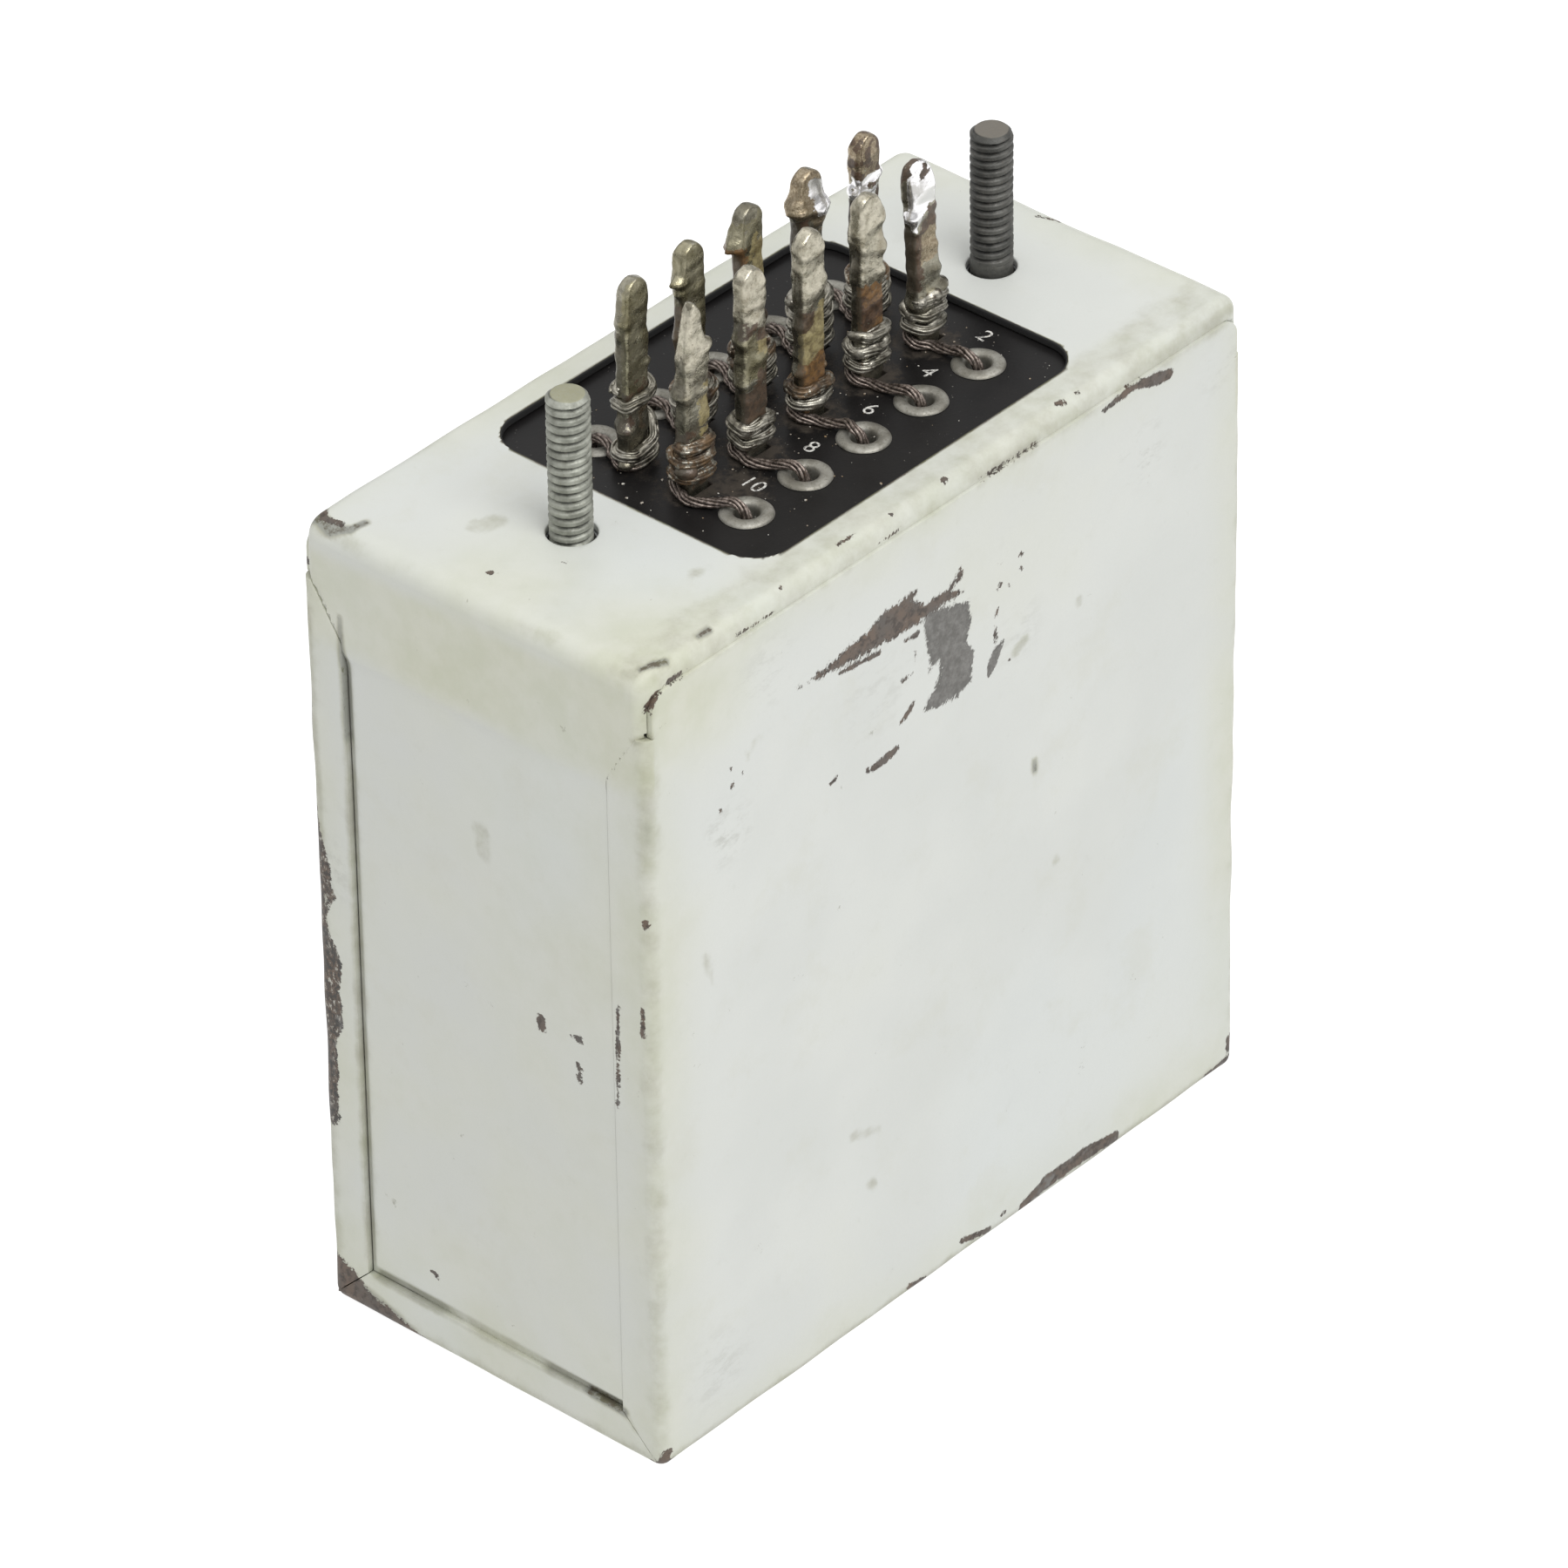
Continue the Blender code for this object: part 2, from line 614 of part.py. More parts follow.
def make_transformer():
    half_core = CORE_LEG * 2 + CORE_WINDOW
    core_height = CORE_WINDOW_HEIGHT + 2 * CORE_LEG
    window_low = DECK + CORE_LEG
    window_high = window_low + CORE_WINDOW_HEIGHT
    low = (CORE_X - half_core, -CORE_STACK / 2, DECK)
    high = (CORE_X + half_core, CORE_STACK / 2, DECK + core_height)
    core = add_part("transformer_core", box_mesh("transformer_core", low, high), "core_iron")
    bm = bmesh.new()
    for side in (-1, 1):
        middle = CORE_X + side * (CORE_LEG + CORE_WINDOW / 2)
        low = (middle - CORE_WINDOW / 2, -CORE_STACK, window_low)
        add_box(bm, low, (middle + CORE_WINDOW / 2, CORE_STACK, window_high))
    boolean(core, add_cutter("core_windows", to_mesh("core_windows", bm)))

    inner = (CORE_LEG + GAP, CORE_STACK / 2 + GAP)
    tube = (inner[0] + BOBBIN_WALL, inner[1] + BOBBIN_WALL)
    outer = (tube[0] + BOBBIN_REACH, tube[1] + BOBBIN_REACH)
    low_z = window_low + GAP
    high_z = window_high - GAP

    def block(half, start, stop):
        return (CORE_X - half[0], -half[1], start), (CORE_X + half[0], half[1], stop)

    bobbin_mesh = box_mesh("transformer_bobbin", *block(outer, low_z, high_z))
    bobbin = add_part("transformer_bobbin", bobbin_mesh, "nylon")
    groove = bmesh.new()
    wide = (outer[0] + BOBBIN_REACH, outer[1] + BOBBIN_REACH)
    add_box(groove, *block(wide, low_z + BOBBIN_WALL, high_z - BOBBIN_WALL))
    groove_cutter = add_cutter("bobbin_groove", to_mesh("bobbin_groove", groove))
    boolean(groove_cutter, add_cutter("bobbin_tube", box_mesh("bobbin_tube", *block(tube, 0.0, HEIGHT))))
    boolean(bobbin, groove_cutter)
    boolean(bobbin, add_cutter("bobbin_hole", box_mesh("bobbin_hole", *block(inner, 0.0, HEIGHT))))

    coil_inner = (tube[0] + GAP, tube[1] + GAP)
    coil_outer = (outer[0] - GAP, outer[1] - GAP)
    wall = BOBBIN_WALL + GAP
    coil_box = block(coil_outer, low_z + wall, high_z - wall)
    coil = add_part("transformer_winding", box_mesh("transformer_winding", *coil_box), "copper")
    bevel(coil, 0.0015, 2)
    boolean(coil, add_cutter("winding_hole", box_mesh("winding_hole", *block(coil_inner, 0.0, HEIGHT))))


def make_heat_sink():
    half = SINK_HALF_DEPTH
    points = [(half, SINK_HEIGHT), (half, 0.0), (-half, 0.0)]
    bm = sheet_from_outline(
        [(0.0, y, z + DECK) for y, z in points], (SINK_LEFT, 0.0, 0.0), (SINK_RIGHT - SINK_LEFT, 0.0, 0.0)
    )
    sink = add_part("heat_sink", to_mesh("heat_sink", bm), "aluminium")
    solidify(sink, SINK_PLATE)
    bm = bmesh.new()
    for x in THYRISTORS.values():
        add_cylinder(bm, (x, half, THYRISTOR_Z), THYRISTOR_STUD_RADIUS + GAP, THROUGH, along="Y")
    boolean(sink, add_cutter("sink_holes", to_mesh("sink_holes", bm)))


def make_thyristors():
    face = SINK_HALF_DEPTH - SINK_PLATE - GAP
    back = SINK_HALF_DEPTH + GAP
    bite = 0.0005
    for side, x in THYRISTORS.items():
        name = f"thyristor_{side}"
        bm = bmesh.new()
        middle = (x, face - THYRISTOR_BASE / 2, THYRISTOR_Z)
        add_cylinder(bm, middle, hex_radius(THYRISTOR_FLATS), THYRISTOR_BASE, 6, "Y")
        body = add_part(name, to_mesh(name, bm), "plated_steel")
        can_front = face - THYRISTOR_BASE - THYRISTOR_CAN
        lengths = {
            "stud": (THYRISTOR_STUD_RADIUS, face - bite, face + THYRISTOR_STUD),
            "can": (THYRISTOR_CAN_RADIUS, can_front, face - THYRISTOR_BASE + bite),
            "pin": (THYRISTOR_PIN_RADIUS, can_front - THYRISTOR_PIN, can_front + bite),
        }
        for piece, (radius, start, stop) in lengths.items():
            bm = bmesh.new()
            add_cylinder(bm, (x, (start + stop) / 2, THYRISTOR_Z), radius, stop - start, along="Y")
            boolean(body, add_cutter(f"{name}_{piece}", to_mesh(f"{name}_{piece}", bm)), "UNION")
        nut = f"thyristor_nut_{side}"
        bm = bmesh.new()
        add_cylinder(bm, (x, back + NUT / 2, THYRISTOR_Z), hex_radius(NUT_FLATS), NUT, 6, "Y")
        part = add_part(nut, to_mesh(nut, bm), "plated_steel")
        bm = bmesh.new()
        add_cylinder(bm, (x, back, THYRISTOR_Z), THYRISTOR_STUD_RADIUS + GAP, THROUGH, along="Y")
        boolean(part, add_cutter(f"{nut}_bore", to_mesh(f"{nut}_bore", bm)))


def make_circuit_board():
    low = (-CIRCUIT_LENGTH / 2, -CIRCUIT_DEPTH / 2, CIRCUIT_Z)
    high = (CIRCUIT_LENGTH / 2, CIRCUIT_DEPTH / 2, CIRCUIT_Z + CIRCUIT)
    board = add_part("circuit_board", box_mesh("circuit_board", low, high), "glass_epoxy")
    bm = bmesh.new()
    for x in STANDOFFS.values():
        add_cylinder(bm, (x, 0.0, CIRCUIT_Z), STANDOFF_BORE, THROUGH, SMALL_STEPS)
    boolean(board, add_cutter("circuit_holes", to_mesh("circuit_holes", bm)))
    top = CIRCUIT_Z - GAP
    head = CIRCUIT_Z + CIRCUIT + GAP
    profile = [
        (0.0, head + SCREW_HEAD),
        (SCREW_HEAD_RADIUS * 0.8, head + SCREW_HEAD),
        (SCREW_HEAD_RADIUS, head + SCREW_HEAD * 0.6),
        (SCREW_HEAD_RADIUS, head),
        (SCREW_RADIUS, head),
        (SCREW_RADIUS, head - SCREW_SHANK),
        (0.0, head - SCREW_SHANK),
    ]
    for side, x in STANDOFFS.items():
        name = f"board_standoff_{side}"
        bm = bmesh.new()
        add_cylinder(bm, (x, 0.0, (DECK + top) / 2), hex_radius(STANDOFF_FLATS), top - DECK, 6)
        standoff = add_part(name, to_mesh(name, bm), "plated_steel")
        bm = bmesh.new()
        add_cylinder(bm, (x, 0.0, top), STANDOFF_BORE, THROUGH, SMALL_STEPS)
        boolean(standoff, add_cutter(f"{name}_bore", to_mesh(f"{name}_bore", bm)))
        turned(f"board_screw_{side}", profile, "plated_steel", (x, 0.0, 0.0), SMALL_STEPS)


def transistor_profile():
    """A metal can with a thin brim at its foot."""
    radius, edge = TRANSISTOR_RADIUS, TRANSISTOR_BRIM
    return [
        (0.0, TRANSISTOR_HEIGHT),
        (radius - edge, TRANSISTOR_HEIGHT),
        (radius, TRANSISTOR_HEIGHT - edge),
        (radius, edge),
        (radius + edge, edge),
        (radius + edge, 0.0),
        (0.0, 0.0),
    ]


def axial_profile(radius, length):
    """A round body with a stub of lead wire at each end."""
    half = length / 2
    tip = half + AXIAL_STUB
    edge = radius / 4
    upper = [(0.0, tip), (AXIAL_WIRE, tip), (AXIAL_WIRE, half), (radius - edge, half), (radius, half - edge)]
    return upper + [(r, -z) for r, z in reversed(upper)]


def make_components():
    for name, (x, y) in TRANSISTORS.items():
        turned(name, transistor_profile(), "plated_steel", (x, y, CIRCUIT_TOP), SMALL_STEPS)
    for name, (x, y, radius, length) in AXIAL_PARTS.items():
        place = (x, y, CIRCUIT_TOP + radius)
        part = turned(name, axial_profile(radius, length), "component_body", place, SMALL_STEPS)
        part.rotation_euler = (0.0, math.pi / 2, 0.0)


def build():
    clear_scene()
    bpy.context.scene.collection.children.link(parts)
    bpy.context.scene.collection.children.link(cutters)
    make_materials()
    make_wrapper()
    make_cover()
    make_terminal_board()
    make_studs()
    make_terminals()
    make_eyelets()
    make_leads()
    make_cradle()
    make_potting()
    make_transformer()
    make_heat_sink()
    make_thyristors()
    make_circuit_board()
    make_components()


build()
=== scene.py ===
"""Looks of the solid state relay: an aged sheet-steel can with soldered blade terminals.

Metres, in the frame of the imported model: origin in the middle of the can's underside,
X along the can, Y from the front plate to the back plate, +Z up.
"""

import math
import random

import bmesh
import bpy
import numpy as np
from mathutils import Matrix, Vector, noise


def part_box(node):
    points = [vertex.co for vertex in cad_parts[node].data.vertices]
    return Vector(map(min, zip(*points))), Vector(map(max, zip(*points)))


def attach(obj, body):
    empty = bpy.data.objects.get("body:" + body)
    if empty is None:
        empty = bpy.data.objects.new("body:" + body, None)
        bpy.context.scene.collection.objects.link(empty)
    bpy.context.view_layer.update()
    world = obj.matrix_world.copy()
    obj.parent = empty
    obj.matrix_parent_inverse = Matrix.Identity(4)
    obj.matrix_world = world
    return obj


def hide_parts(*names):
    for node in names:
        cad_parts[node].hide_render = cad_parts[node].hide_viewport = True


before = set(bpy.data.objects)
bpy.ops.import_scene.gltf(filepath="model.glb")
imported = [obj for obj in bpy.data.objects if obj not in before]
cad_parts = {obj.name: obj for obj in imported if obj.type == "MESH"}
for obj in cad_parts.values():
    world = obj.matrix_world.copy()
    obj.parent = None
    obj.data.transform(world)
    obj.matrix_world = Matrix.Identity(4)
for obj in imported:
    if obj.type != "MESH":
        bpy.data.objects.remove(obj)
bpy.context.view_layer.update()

MM = 0.001

# ---------------------------------------------------------------- places, from the frame
HALF_LENGTH, HALF_DEPTH, WRAPPER_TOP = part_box("can_wrapper")[1]
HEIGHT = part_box("top_cover")[1][2]
BOARD_LOW, BOARD_HIGH = (Vector(corner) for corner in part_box("terminal_board"))
BOARD_TOP = BOARD_HIGH.z
ROWS = ("front", "back")
PLACES = range(1, 6)

# ---------------------------------------------------------------- sizes of the sheet metal
SHEET = 0.8 * MM
BEND = 1.5 * MM
FLANGE = 5.7 * MM
FLANGE_TOP = HEIGHT - 7.7 * MM
FLANGE_SLANT = 6.6 * MM
BENDS = 8
SLIT = 0.12 * MM
MITRE_GAP = 0.07 * MM
PLATE_OVERHANG = 0.35 * MM
PLATE_CORNER = 2.3 * MM
COVER_RADII = Vector((2.6, 1.7, 2.2)) * MM
COVER_INSET = 0.35 * MM
SKIRT_BOTTOM = HEIGHT - 7.0 * MM
PANEL_BOTTOM = 1.5 * MM
PANEL_RECESS = 1.1 * MM
PANEL_STEP = (0.10, 0.34)
WINDOW = (53.6 * MM, 39.4 * MM)
WINDOW_CORNER = 4.6 * MM
STUD_HOLE = 2.85 * MM

random.seed(7)


def center(node):
    low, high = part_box(node)
    return (Vector(low) + Vector(high)) / 2


STUDS = {side: center(f"stud_{side}") for side in ("left", "right")}
PANEL = (STUDS["left"] + STUDS["right"]) / 2


# ---------------------------------------------------------------- material tools
class Shader:
    """A material with a Principled shader, and short ways to add nodes to it."""

    def __init__(self, name):
        self.material = bpy.data.materials.new(name)
        self.material.use_nodes = True
        self.nodes = self.material.node_tree.nodes
        self.links = self.material.node_tree.links
        self.principled = self.nodes["Principled BSDF"]
        self.place = self.nodes.new("ShaderNodeTexCoord").outputs["Object"]

    def put(self, socket, value):
        if isinstance(value, bpy.types.NodeSocket):
            self.links.new(value, socket)
        elif isinstance(value, (tuple, list)) and len(value) == 3 and socket.type == "RGBA":
            socket.default_value = (*value, 1.0)
        else:
            socket.default_value = value

    def add(self, kind, values, output=0, **settings):
        node = self.nodes.new(kind)
        for name, setting in settings.items():
            setattr(node, name, setting)
        for key, value in values.items():
            self.put(node.inputs[key], value)
        return node.outputs[output]

    def noise(self, size, detail=3.0, rough=0.55, place=None):
        """Noise from 0 to 1 whose features are about size metres across."""
        values = {"Vector": place or self.place, "Scale": 1.0 / size, "Detail": detail, "Roughness": rough}
        return self.add("ShaderNodeTexNoise", values)

    def stretched(self, scale, turn=(0.0, 0.0, 0.0), kind="POINT"):
        values = {"Vector": self.place, "Scale": scale, "Rotation": turn}
        return self.add("ShaderNodeMapping", values, vector_type=kind)

    def math(self, operation, first, second=0.0, third=None):
        values = {0: first, 1: second}
        if third is not None:
            values[2] = third
        return self.add("ShaderNodeMath", values, operation=operation)

    def step(self, value, low, high):
        """0 below low, 1 above high, smooth between; low may be above high."""
        values = {"Value": value, "From Min": low, "From Max": high}
        return self.add("ShaderNodeMapRange", values, interpolation_type="SMOOTHSTEP")

    def line(self, value, low, high, start=0.0, stop=1.0):
        values = {"Value": value, "From Min": low, "From Max": high, "To Min": start, "To Max": stop}
        return self.add("ShaderNodeMapRange", values)

    def mix(self, factor, first, second, blend="MIX"):
        values = {0: factor, 6: first, 7: second}
        return self.add("ShaderNodeMix", values, output=2, data_type="RGBA", blend_type=blend)

    def blend(self, factor, first, second):
        return self.add("ShaderNodeMix", {0: factor, 2: first, 3: second}, data_type="FLOAT")

    def ramp(self, value, low, high, first, second):
        """The first colour where value is below low, the second above high."""
        return self.mix(self.step(value, low, high), first, second)

    def over(self, color, cover, amount, layer):
        """A layer over a colour, as thick as cover times amount."""
        return self.mix(self.math("MULTIPLY", cover, amount), color, layer)

    def vary(self, value, pattern, amount):
        """A value made uneven by a noise pattern, by up to amount either way."""
        return self.math("ADD", value, self.line(pattern, 0.3, 0.7, -amount, amount))

    def total(self, *parts):
        """The sum of values, each given with its weight."""
        result = 0.0
        for value, weight in parts:
            result = self.math("MULTIPLY_ADD", value, weight, result)
        return result

    def attribute(self, name):
        return self.add("ShaderNodeAttribute", {}, output=2, attribute_name=name)

    def bump(self, height, distance):
        return self.add("ShaderNodeBump", {"Height": height, "Distance": distance, "Strength": 1.0})

    def finish(self, color, roughness, metallic=0.0, normal=None, **more):
        self.put(self.principled.inputs["Base Color"], color)
        self.put(self.principled.inputs["Roughness"], roughness)
        self.put(self.principled.inputs["Metallic"], metallic)
        if normal is not None:
            self.put(self.principled.inputs["Normal"], normal)
        for name, value in more.items():
            self.put(self.principled.inputs[name.replace("_", " ")], value)
        return self.material


# ---------------------------------------------------------------- materials
# What the can's sheets carry at each point, for the paint
WEAR = ("chip", "bare", "dirt_and_shade", "yellow", "scuff", "speckled")


def paint_material():
    """Old pale enamel: yellowed and dirty by its marks, chipped to primer and bare steel; the dirt marks
    also hold painted shade in the grooves and joints.
    """
    s = Shader("aged_enamel")
    chip, bare, dirt_and_shade, yellow, scuff, speckled = (s.attribute(name) for name in WEAR)

    broad = s.noise(26 * MM, 3.0, 0.55)
    middle = s.noise(5 * MM, 4.0, 0.6)
    fine = s.noise(0.9 * MM, 4.0, 0.65)
    grain = s.noise(0.22 * MM, 2.0, 0.6)

    clean = s.ramp(broad, 0.35, 0.68, (0.585, 0.600, 0.570), (0.622, 0.636, 0.604))
    warm = s.ramp(middle, 0.3, 0.7, (0.520, 0.532, 0.415), (0.580, 0.585, 0.490))
    color = s.mix(s.step(s.vary(yellow, broad, 0.25), 0.02, 1.05), clean, warm)
    cool = s.step(s.noise(44 * MM, 2.0, 0.5, s.stretched((1.0, 1.0, 0.7))), 0.50, 0.72)
    color = s.over(color, cool, 0.40, (0.595, 0.632, 0.632))
    blotch = s.step(s.noise(9 * MM, 5.0, 0.65), 0.52, 0.72)
    color = s.over(color, blotch, 0.22, (0.520, 0.520, 0.430))
    color = s.over(color, s.step(fine, 0.66, 0.80), 0.12, (0.34, 0.33, 0.24))
    color = s.mix(s.line(grain, 0.2, 0.8, 0.0, 0.09), color, (0.40, 0.41, 0.38))

    smear = s.noise(1.6 * MM, 5.0, 0.7, s.stretched((0.55, 1.0, 1.2), (0.0, 0.5, 0.0)))
    scuffed = s.math("MULTIPLY", scuff, s.step(smear, 0.46, 0.66))
    color = s.over(color, scuffed, 0.60, (0.30, 0.30, 0.26))

    # The film and the dark grime after it follow the dirt marks: real dirt, and painted shade along the
    # grooves and joints of the end panels.
    film = s.step(s.vary(dirt_and_shade, s.noise(3.5 * MM, 5.0, 0.65), 0.22), 0.08, 0.90)
    film_color = s.ramp(middle, 0.35, 0.65, (0.300, 0.300, 0.190), (0.275, 0.262, 0.185))
    film_color = s.ramp(dirt_and_shade, 0.50, 0.90, film_color, (0.120, 0.122, 0.100))
    color = s.over(color, film, 0.66, film_color)
    marks = s.step(s.noise(3.4 * MM, 7.0, 0.78), 0.665, 0.705)
    color = s.over(color, marks, 0.50, (0.180, 0.170, 0.110))
    grime_and_shade = s.step(s.vary(dirt_and_shade, s.noise(1.1 * MM, 5.0, 0.7), 0.22), 0.84, 1.06)
    grime_and_shade_color = s.ramp(middle, 0.35, 0.65, (0.110, 0.108, 0.050), (0.085, 0.066, 0.048))
    color = s.over(color, grime_and_shade, 0.92, grime_and_shade_color)
    # Dirt marks above 1.25, on the window's cut edge, turn the paint near black.
    color = s.ramp(dirt_and_shade, 1.25, 1.35, color, (0.012, 0.012, 0.012))

    ragged = s.noise(0.60 * MM, 6.0, 0.80)
    tears = s.noise(0.55 * MM, 4.0, 0.7, s.stretched((0.42, 1.0, 1.5), (0.0, 0.6, 0.0), "TEXTURE"))
    edge = s.math("ADD", chip, s.line(ragged, 0.25, 0.75, -0.50, 0.50))
    edge = s.math("ADD", edge, s.line(tears, 0.25, 0.75, -0.48, 0.48))
    edge = s.vary(edge, s.noise(2.6 * MM, 2.0, 0.5), 0.30)
    chipped = s.step(edge, 0.05, -0.05)
    thin = s.step(edge, 0.22, 0.02)
    primer = s.ramp(middle, 0.35, 0.65, (0.118, 0.082, 0.058), (0.084, 0.074, 0.064))
    primer = s.ramp(fine, 0.46, 0.64, primer, (0.046, 0.034, 0.026))
    primer = s.ramp(ragged, 0.60, 0.70, primer, (0.200, 0.190, 0.175))
    steel = s.ramp(fine, 0.35, 0.7, (0.128, 0.124, 0.114), (0.205, 0.200, 0.188))
    steel = s.ramp(grain, 0.55, 0.8, steel, (0.09, 0.085, 0.08))
    mottle = s.math("ADD", bare, s.line(s.noise(3 * MM, 3.0), 0.35, 0.65, -0.25, 0.25))
    under = s.ramp(mottle, 0.35, 0.65, primer, steel)
    color = s.over(color, thin, 0.35, (0.42, 0.39, 0.33))
    flecks = s.noise(0.55 * MM, 6.0, 0.75, s.stretched((1.0, 1.0, 0.6)))
    under = s.mix(s.math("MULTIPLY", s.step(flecks, 0.50, 0.44), speckled), under, (0.040, 0.038, 0.034))
    under = s.mix(s.math("MULTIPLY", s.step(flecks, 0.575, 0.605), speckled), under, (0.42, 0.41, 0.36))
    color = s.mix(chipped, color, under)

    roughness = s.line(middle, 0.3, 0.7, 0.36, 0.50)
    roughness = s.blend(film, roughness, 0.62)
    roughness = s.blend(grime_and_shade, roughness, 0.80)
    roughness = s.blend(chipped, roughness, 0.55)
    metallic = s.math("MULTIPLY", chipped, s.math("MULTIPLY", bare, 0.55))

    peel = s.noise(1.3 * MM, 2.0, 0.5)
    relief = s.total((peel, 0.30), (fine, 0.20), (grain, 0.06), (chipped, -1.6), (grime_and_shade, 0.25))
    return s.finish(color, roughness, metallic, s.bump(relief, 0.045 * MM))


def board_material():
    s = Shader("black_phenolic")
    cloth = s.noise(0.5 * MM, 3.0, 0.6)
    broad = s.noise(8 * MM, 4.0, 0.6)
    color = s.ramp(broad, 0.3, 0.7, (0.0085, 0.0080, 0.0080), (0.0125, 0.0116, 0.0113))
    dust = s.step(s.vary(s.attribute("haze"), s.noise(1.4 * MM, 5.0, 0.7), 0.4), 0.35, 1.1)
    color = s.over(color, dust, 0.55, (0.085, 0.070, 0.055))
    specks = s.step(s.noise(0.30 * MM, 2.0, 0.5), 0.735, 0.78)
    color = s.over(color, specks, 0.55, (0.40, 0.38, 0.34))
    roughness = s.blend(dust, s.line(broad, 0.3, 0.7, 0.30, 0.42), 0.62)
    relief = s.total((cloth, 0.5), (broad, 0.5), (dust, 0.8))
    return s.finish(color, roughness, 0.0, s.bump(relief, 0.03 * MM), Specular_IOR_Level=0.16)


# Of each stud: dark and light metal, stain, and the cut end
STUD_COLORS = {
    "left": ((0.195, 0.200, 0.170), (0.385, 0.395, 0.345), (0.150, 0.135, 0.085), (0.285, 0.280, 0.185)),
    "right": ((0.060, 0.060, 0.055), (0.120, 0.118, 0.108), (0.100, 0.078, 0.056), (0.160, 0.145, 0.120)),
}


def stud_material(name, dark, light, stain, cap):
    s = Shader(name)
    middle = s.noise(2.2 * MM, 4.0, 0.6)
    fine = s.noise(0.35 * MM, 4.0, 0.65)
    color = s.ramp(middle, 0.3, 0.7, dark, light)
    hollow = s.step(s.vary(s.attribute("crest"), middle, 0.18), 0.55, 0.0)
    color = s.over(color, hollow, 0.80, tuple(0.25 * channel for channel in dark))
    color = s.over(color, s.step(fine, 0.55, 0.75), 0.45, stain)
    top = s.attribute("top")
    color = s.mix(s.math("MULTIPLY", top, s.line(fine, 0.3, 0.7, 0.70, 1.0)), color, cap)
    roughness = s.line(fine, 0.3, 0.7, 0.42, 0.66)
    metallic = s.blend(top, s.line(fine, 0.35, 0.75, 0.60, 0.25), 0.15)
    return s.finish(color, roughness, metallic, s.bump(fine, 0.05 * MM))


def strand_material():
    """Old stranded copper wire, tinned and soldered where it is wrapped, stained with rosin."""
    s = Shader("tinned_strands")
    broad = s.noise(2.0 * MM, 3.0, 0.6)
    fine = s.noise(0.4 * MM, 3.0, 0.6)
    worn = s.step(s.vary(s.attribute("copper"), broad, 0.35), 0.35, 0.80)
    tin = s.ramp(broad, 0.35, 0.65, (0.185, 0.174, 0.140), (0.420, 0.400, 0.345))
    copper = s.ramp(fine, 0.35, 0.65, (0.105, 0.082, 0.070), (0.340, 0.285, 0.250))
    color = s.mix(worn, tin, copper)
    soot = s.noise(0.9 * MM, 4.0, 0.7)
    color = s.over(color, s.step(soot, 0.50, 0.68), 0.80, (0.040, 0.031, 0.025))
    stain = s.step(s.vary(s.attribute("rosin"), soot, 0.55), 0.42, 0.62)
    rosin = s.ramp(broad, 0.35, 0.65, (0.030, 0.017, 0.009), (0.135, 0.075, 0.028))
    color = s.over(color, stain, 0.88, rosin)
    dull = s.math("MAXIMUM", stain, s.math("MULTIPLY", worn, 0.25))
    roughness = s.line(fine, 0.3, 0.7, 0.30, 0.48)
    return s.finish(color, roughness, s.blend(dull, 0.92, 0.35), s.bump(fine, 0.04 * MM))


# Coats on the solder: the noise that mottles it, its two colours, and how thickly it lies
COATS = {
    "pale": ("middle", (0.32, 0.298, 0.230), (0.64, 0.600, 0.490), 0.90),
    "olive": ("broad", (0.185, 0.166, 0.096), (0.350, 0.325, 0.225), 0.85),
    "yellow": ("middle", (0.145, 0.110, 0.042), (0.34, 0.285, 0.135), 0.90),
    "amber": ("middle", (0.070, 0.034, 0.013), (0.205, 0.105, 0.034), 0.92),
    "tan": ("fine", (0.24, 0.185, 0.120), (0.42, 0.35, 0.25), 0.90),
    "brown": ("middle", (0.030, 0.017, 0.010), (0.085, 0.050, 0.030), 0.92),
}


def blade_material():
    """Old solder with burnt rosin, from pale grey through olive and amber to brown, with painted shade on
    each blade's narrow left side.
    """
    s = Shader("old_solder")
    broad = s.noise(2.6 * MM, 4.0, 0.6)
    middle = s.noise(1.0 * MM, 4.0, 0.65)
    fine = s.noise(0.28 * MM, 3.0, 0.65)
    patterns = {"broad": broad, "middle": middle, "fine": fine}
    color = s.ramp(broad, 0.34, 0.66, (0.175, 0.160, 0.118), (0.37, 0.352, 0.282))
    color = s.over(color, s.step(middle, 0.52, 0.72), 0.55, (0.075, 0.070, 0.060))
    ragged = s.vary(s.line(middle, 0.3, 0.7, -0.45, 0.45), fine, 0.22)

    def cover(name, low=0.42, high=0.66):
        return s.step(s.math("ADD", s.attribute(name), ragged), low, high)

    covers = {name: cover(name) for name in COATS if name != "pale"}
    covers["pale"] = cover("pale", 0.30, 0.55)
    for name, (pattern, first, second, amount) in COATS.items():
        coat = s.ramp(patterns[pattern], 0.35, 0.65, first, second)
        if name == "pale":
            coat = s.over(coat, s.step(broad, 0.50, 0.68), 0.7, (0.27, 0.235, 0.165))
        color = s.over(color, covers[name], amount, coat)
    # Painted shade: the narrow left side of each blade is darkened.
    color = s.over(color, cover("edge", 0.30, 0.80), 0.72, (0.062, 0.056, 0.040))
    fresh = s.step(s.math("MULTIPLY_ADD", ragged, 0.45, s.attribute("fresh")), 0.44, 0.50)
    color = s.mix(fresh, color, s.ramp(broad, 0.38, 0.50, (0.52, 0.51, 0.49), (0.88, 0.87, 0.88)))

    dull = s.math("MAXIMUM", s.math("MAXIMUM", covers["yellow"], covers["amber"]), covers["brown"])
    roughness = s.blend(dull, s.line(middle, 0.3, 0.7, 0.20, 0.42), 0.30)
    roughness = s.blend(fresh, roughness, 0.25)
    relief = s.blend(fresh, s.total((fine, 0.5), (middle, 1.0)), s.total((broad, 0.4)))
    return s.finish(color, roughness, s.blend(dull, 0.88, 0.15), s.bump(relief, 0.09 * MM))


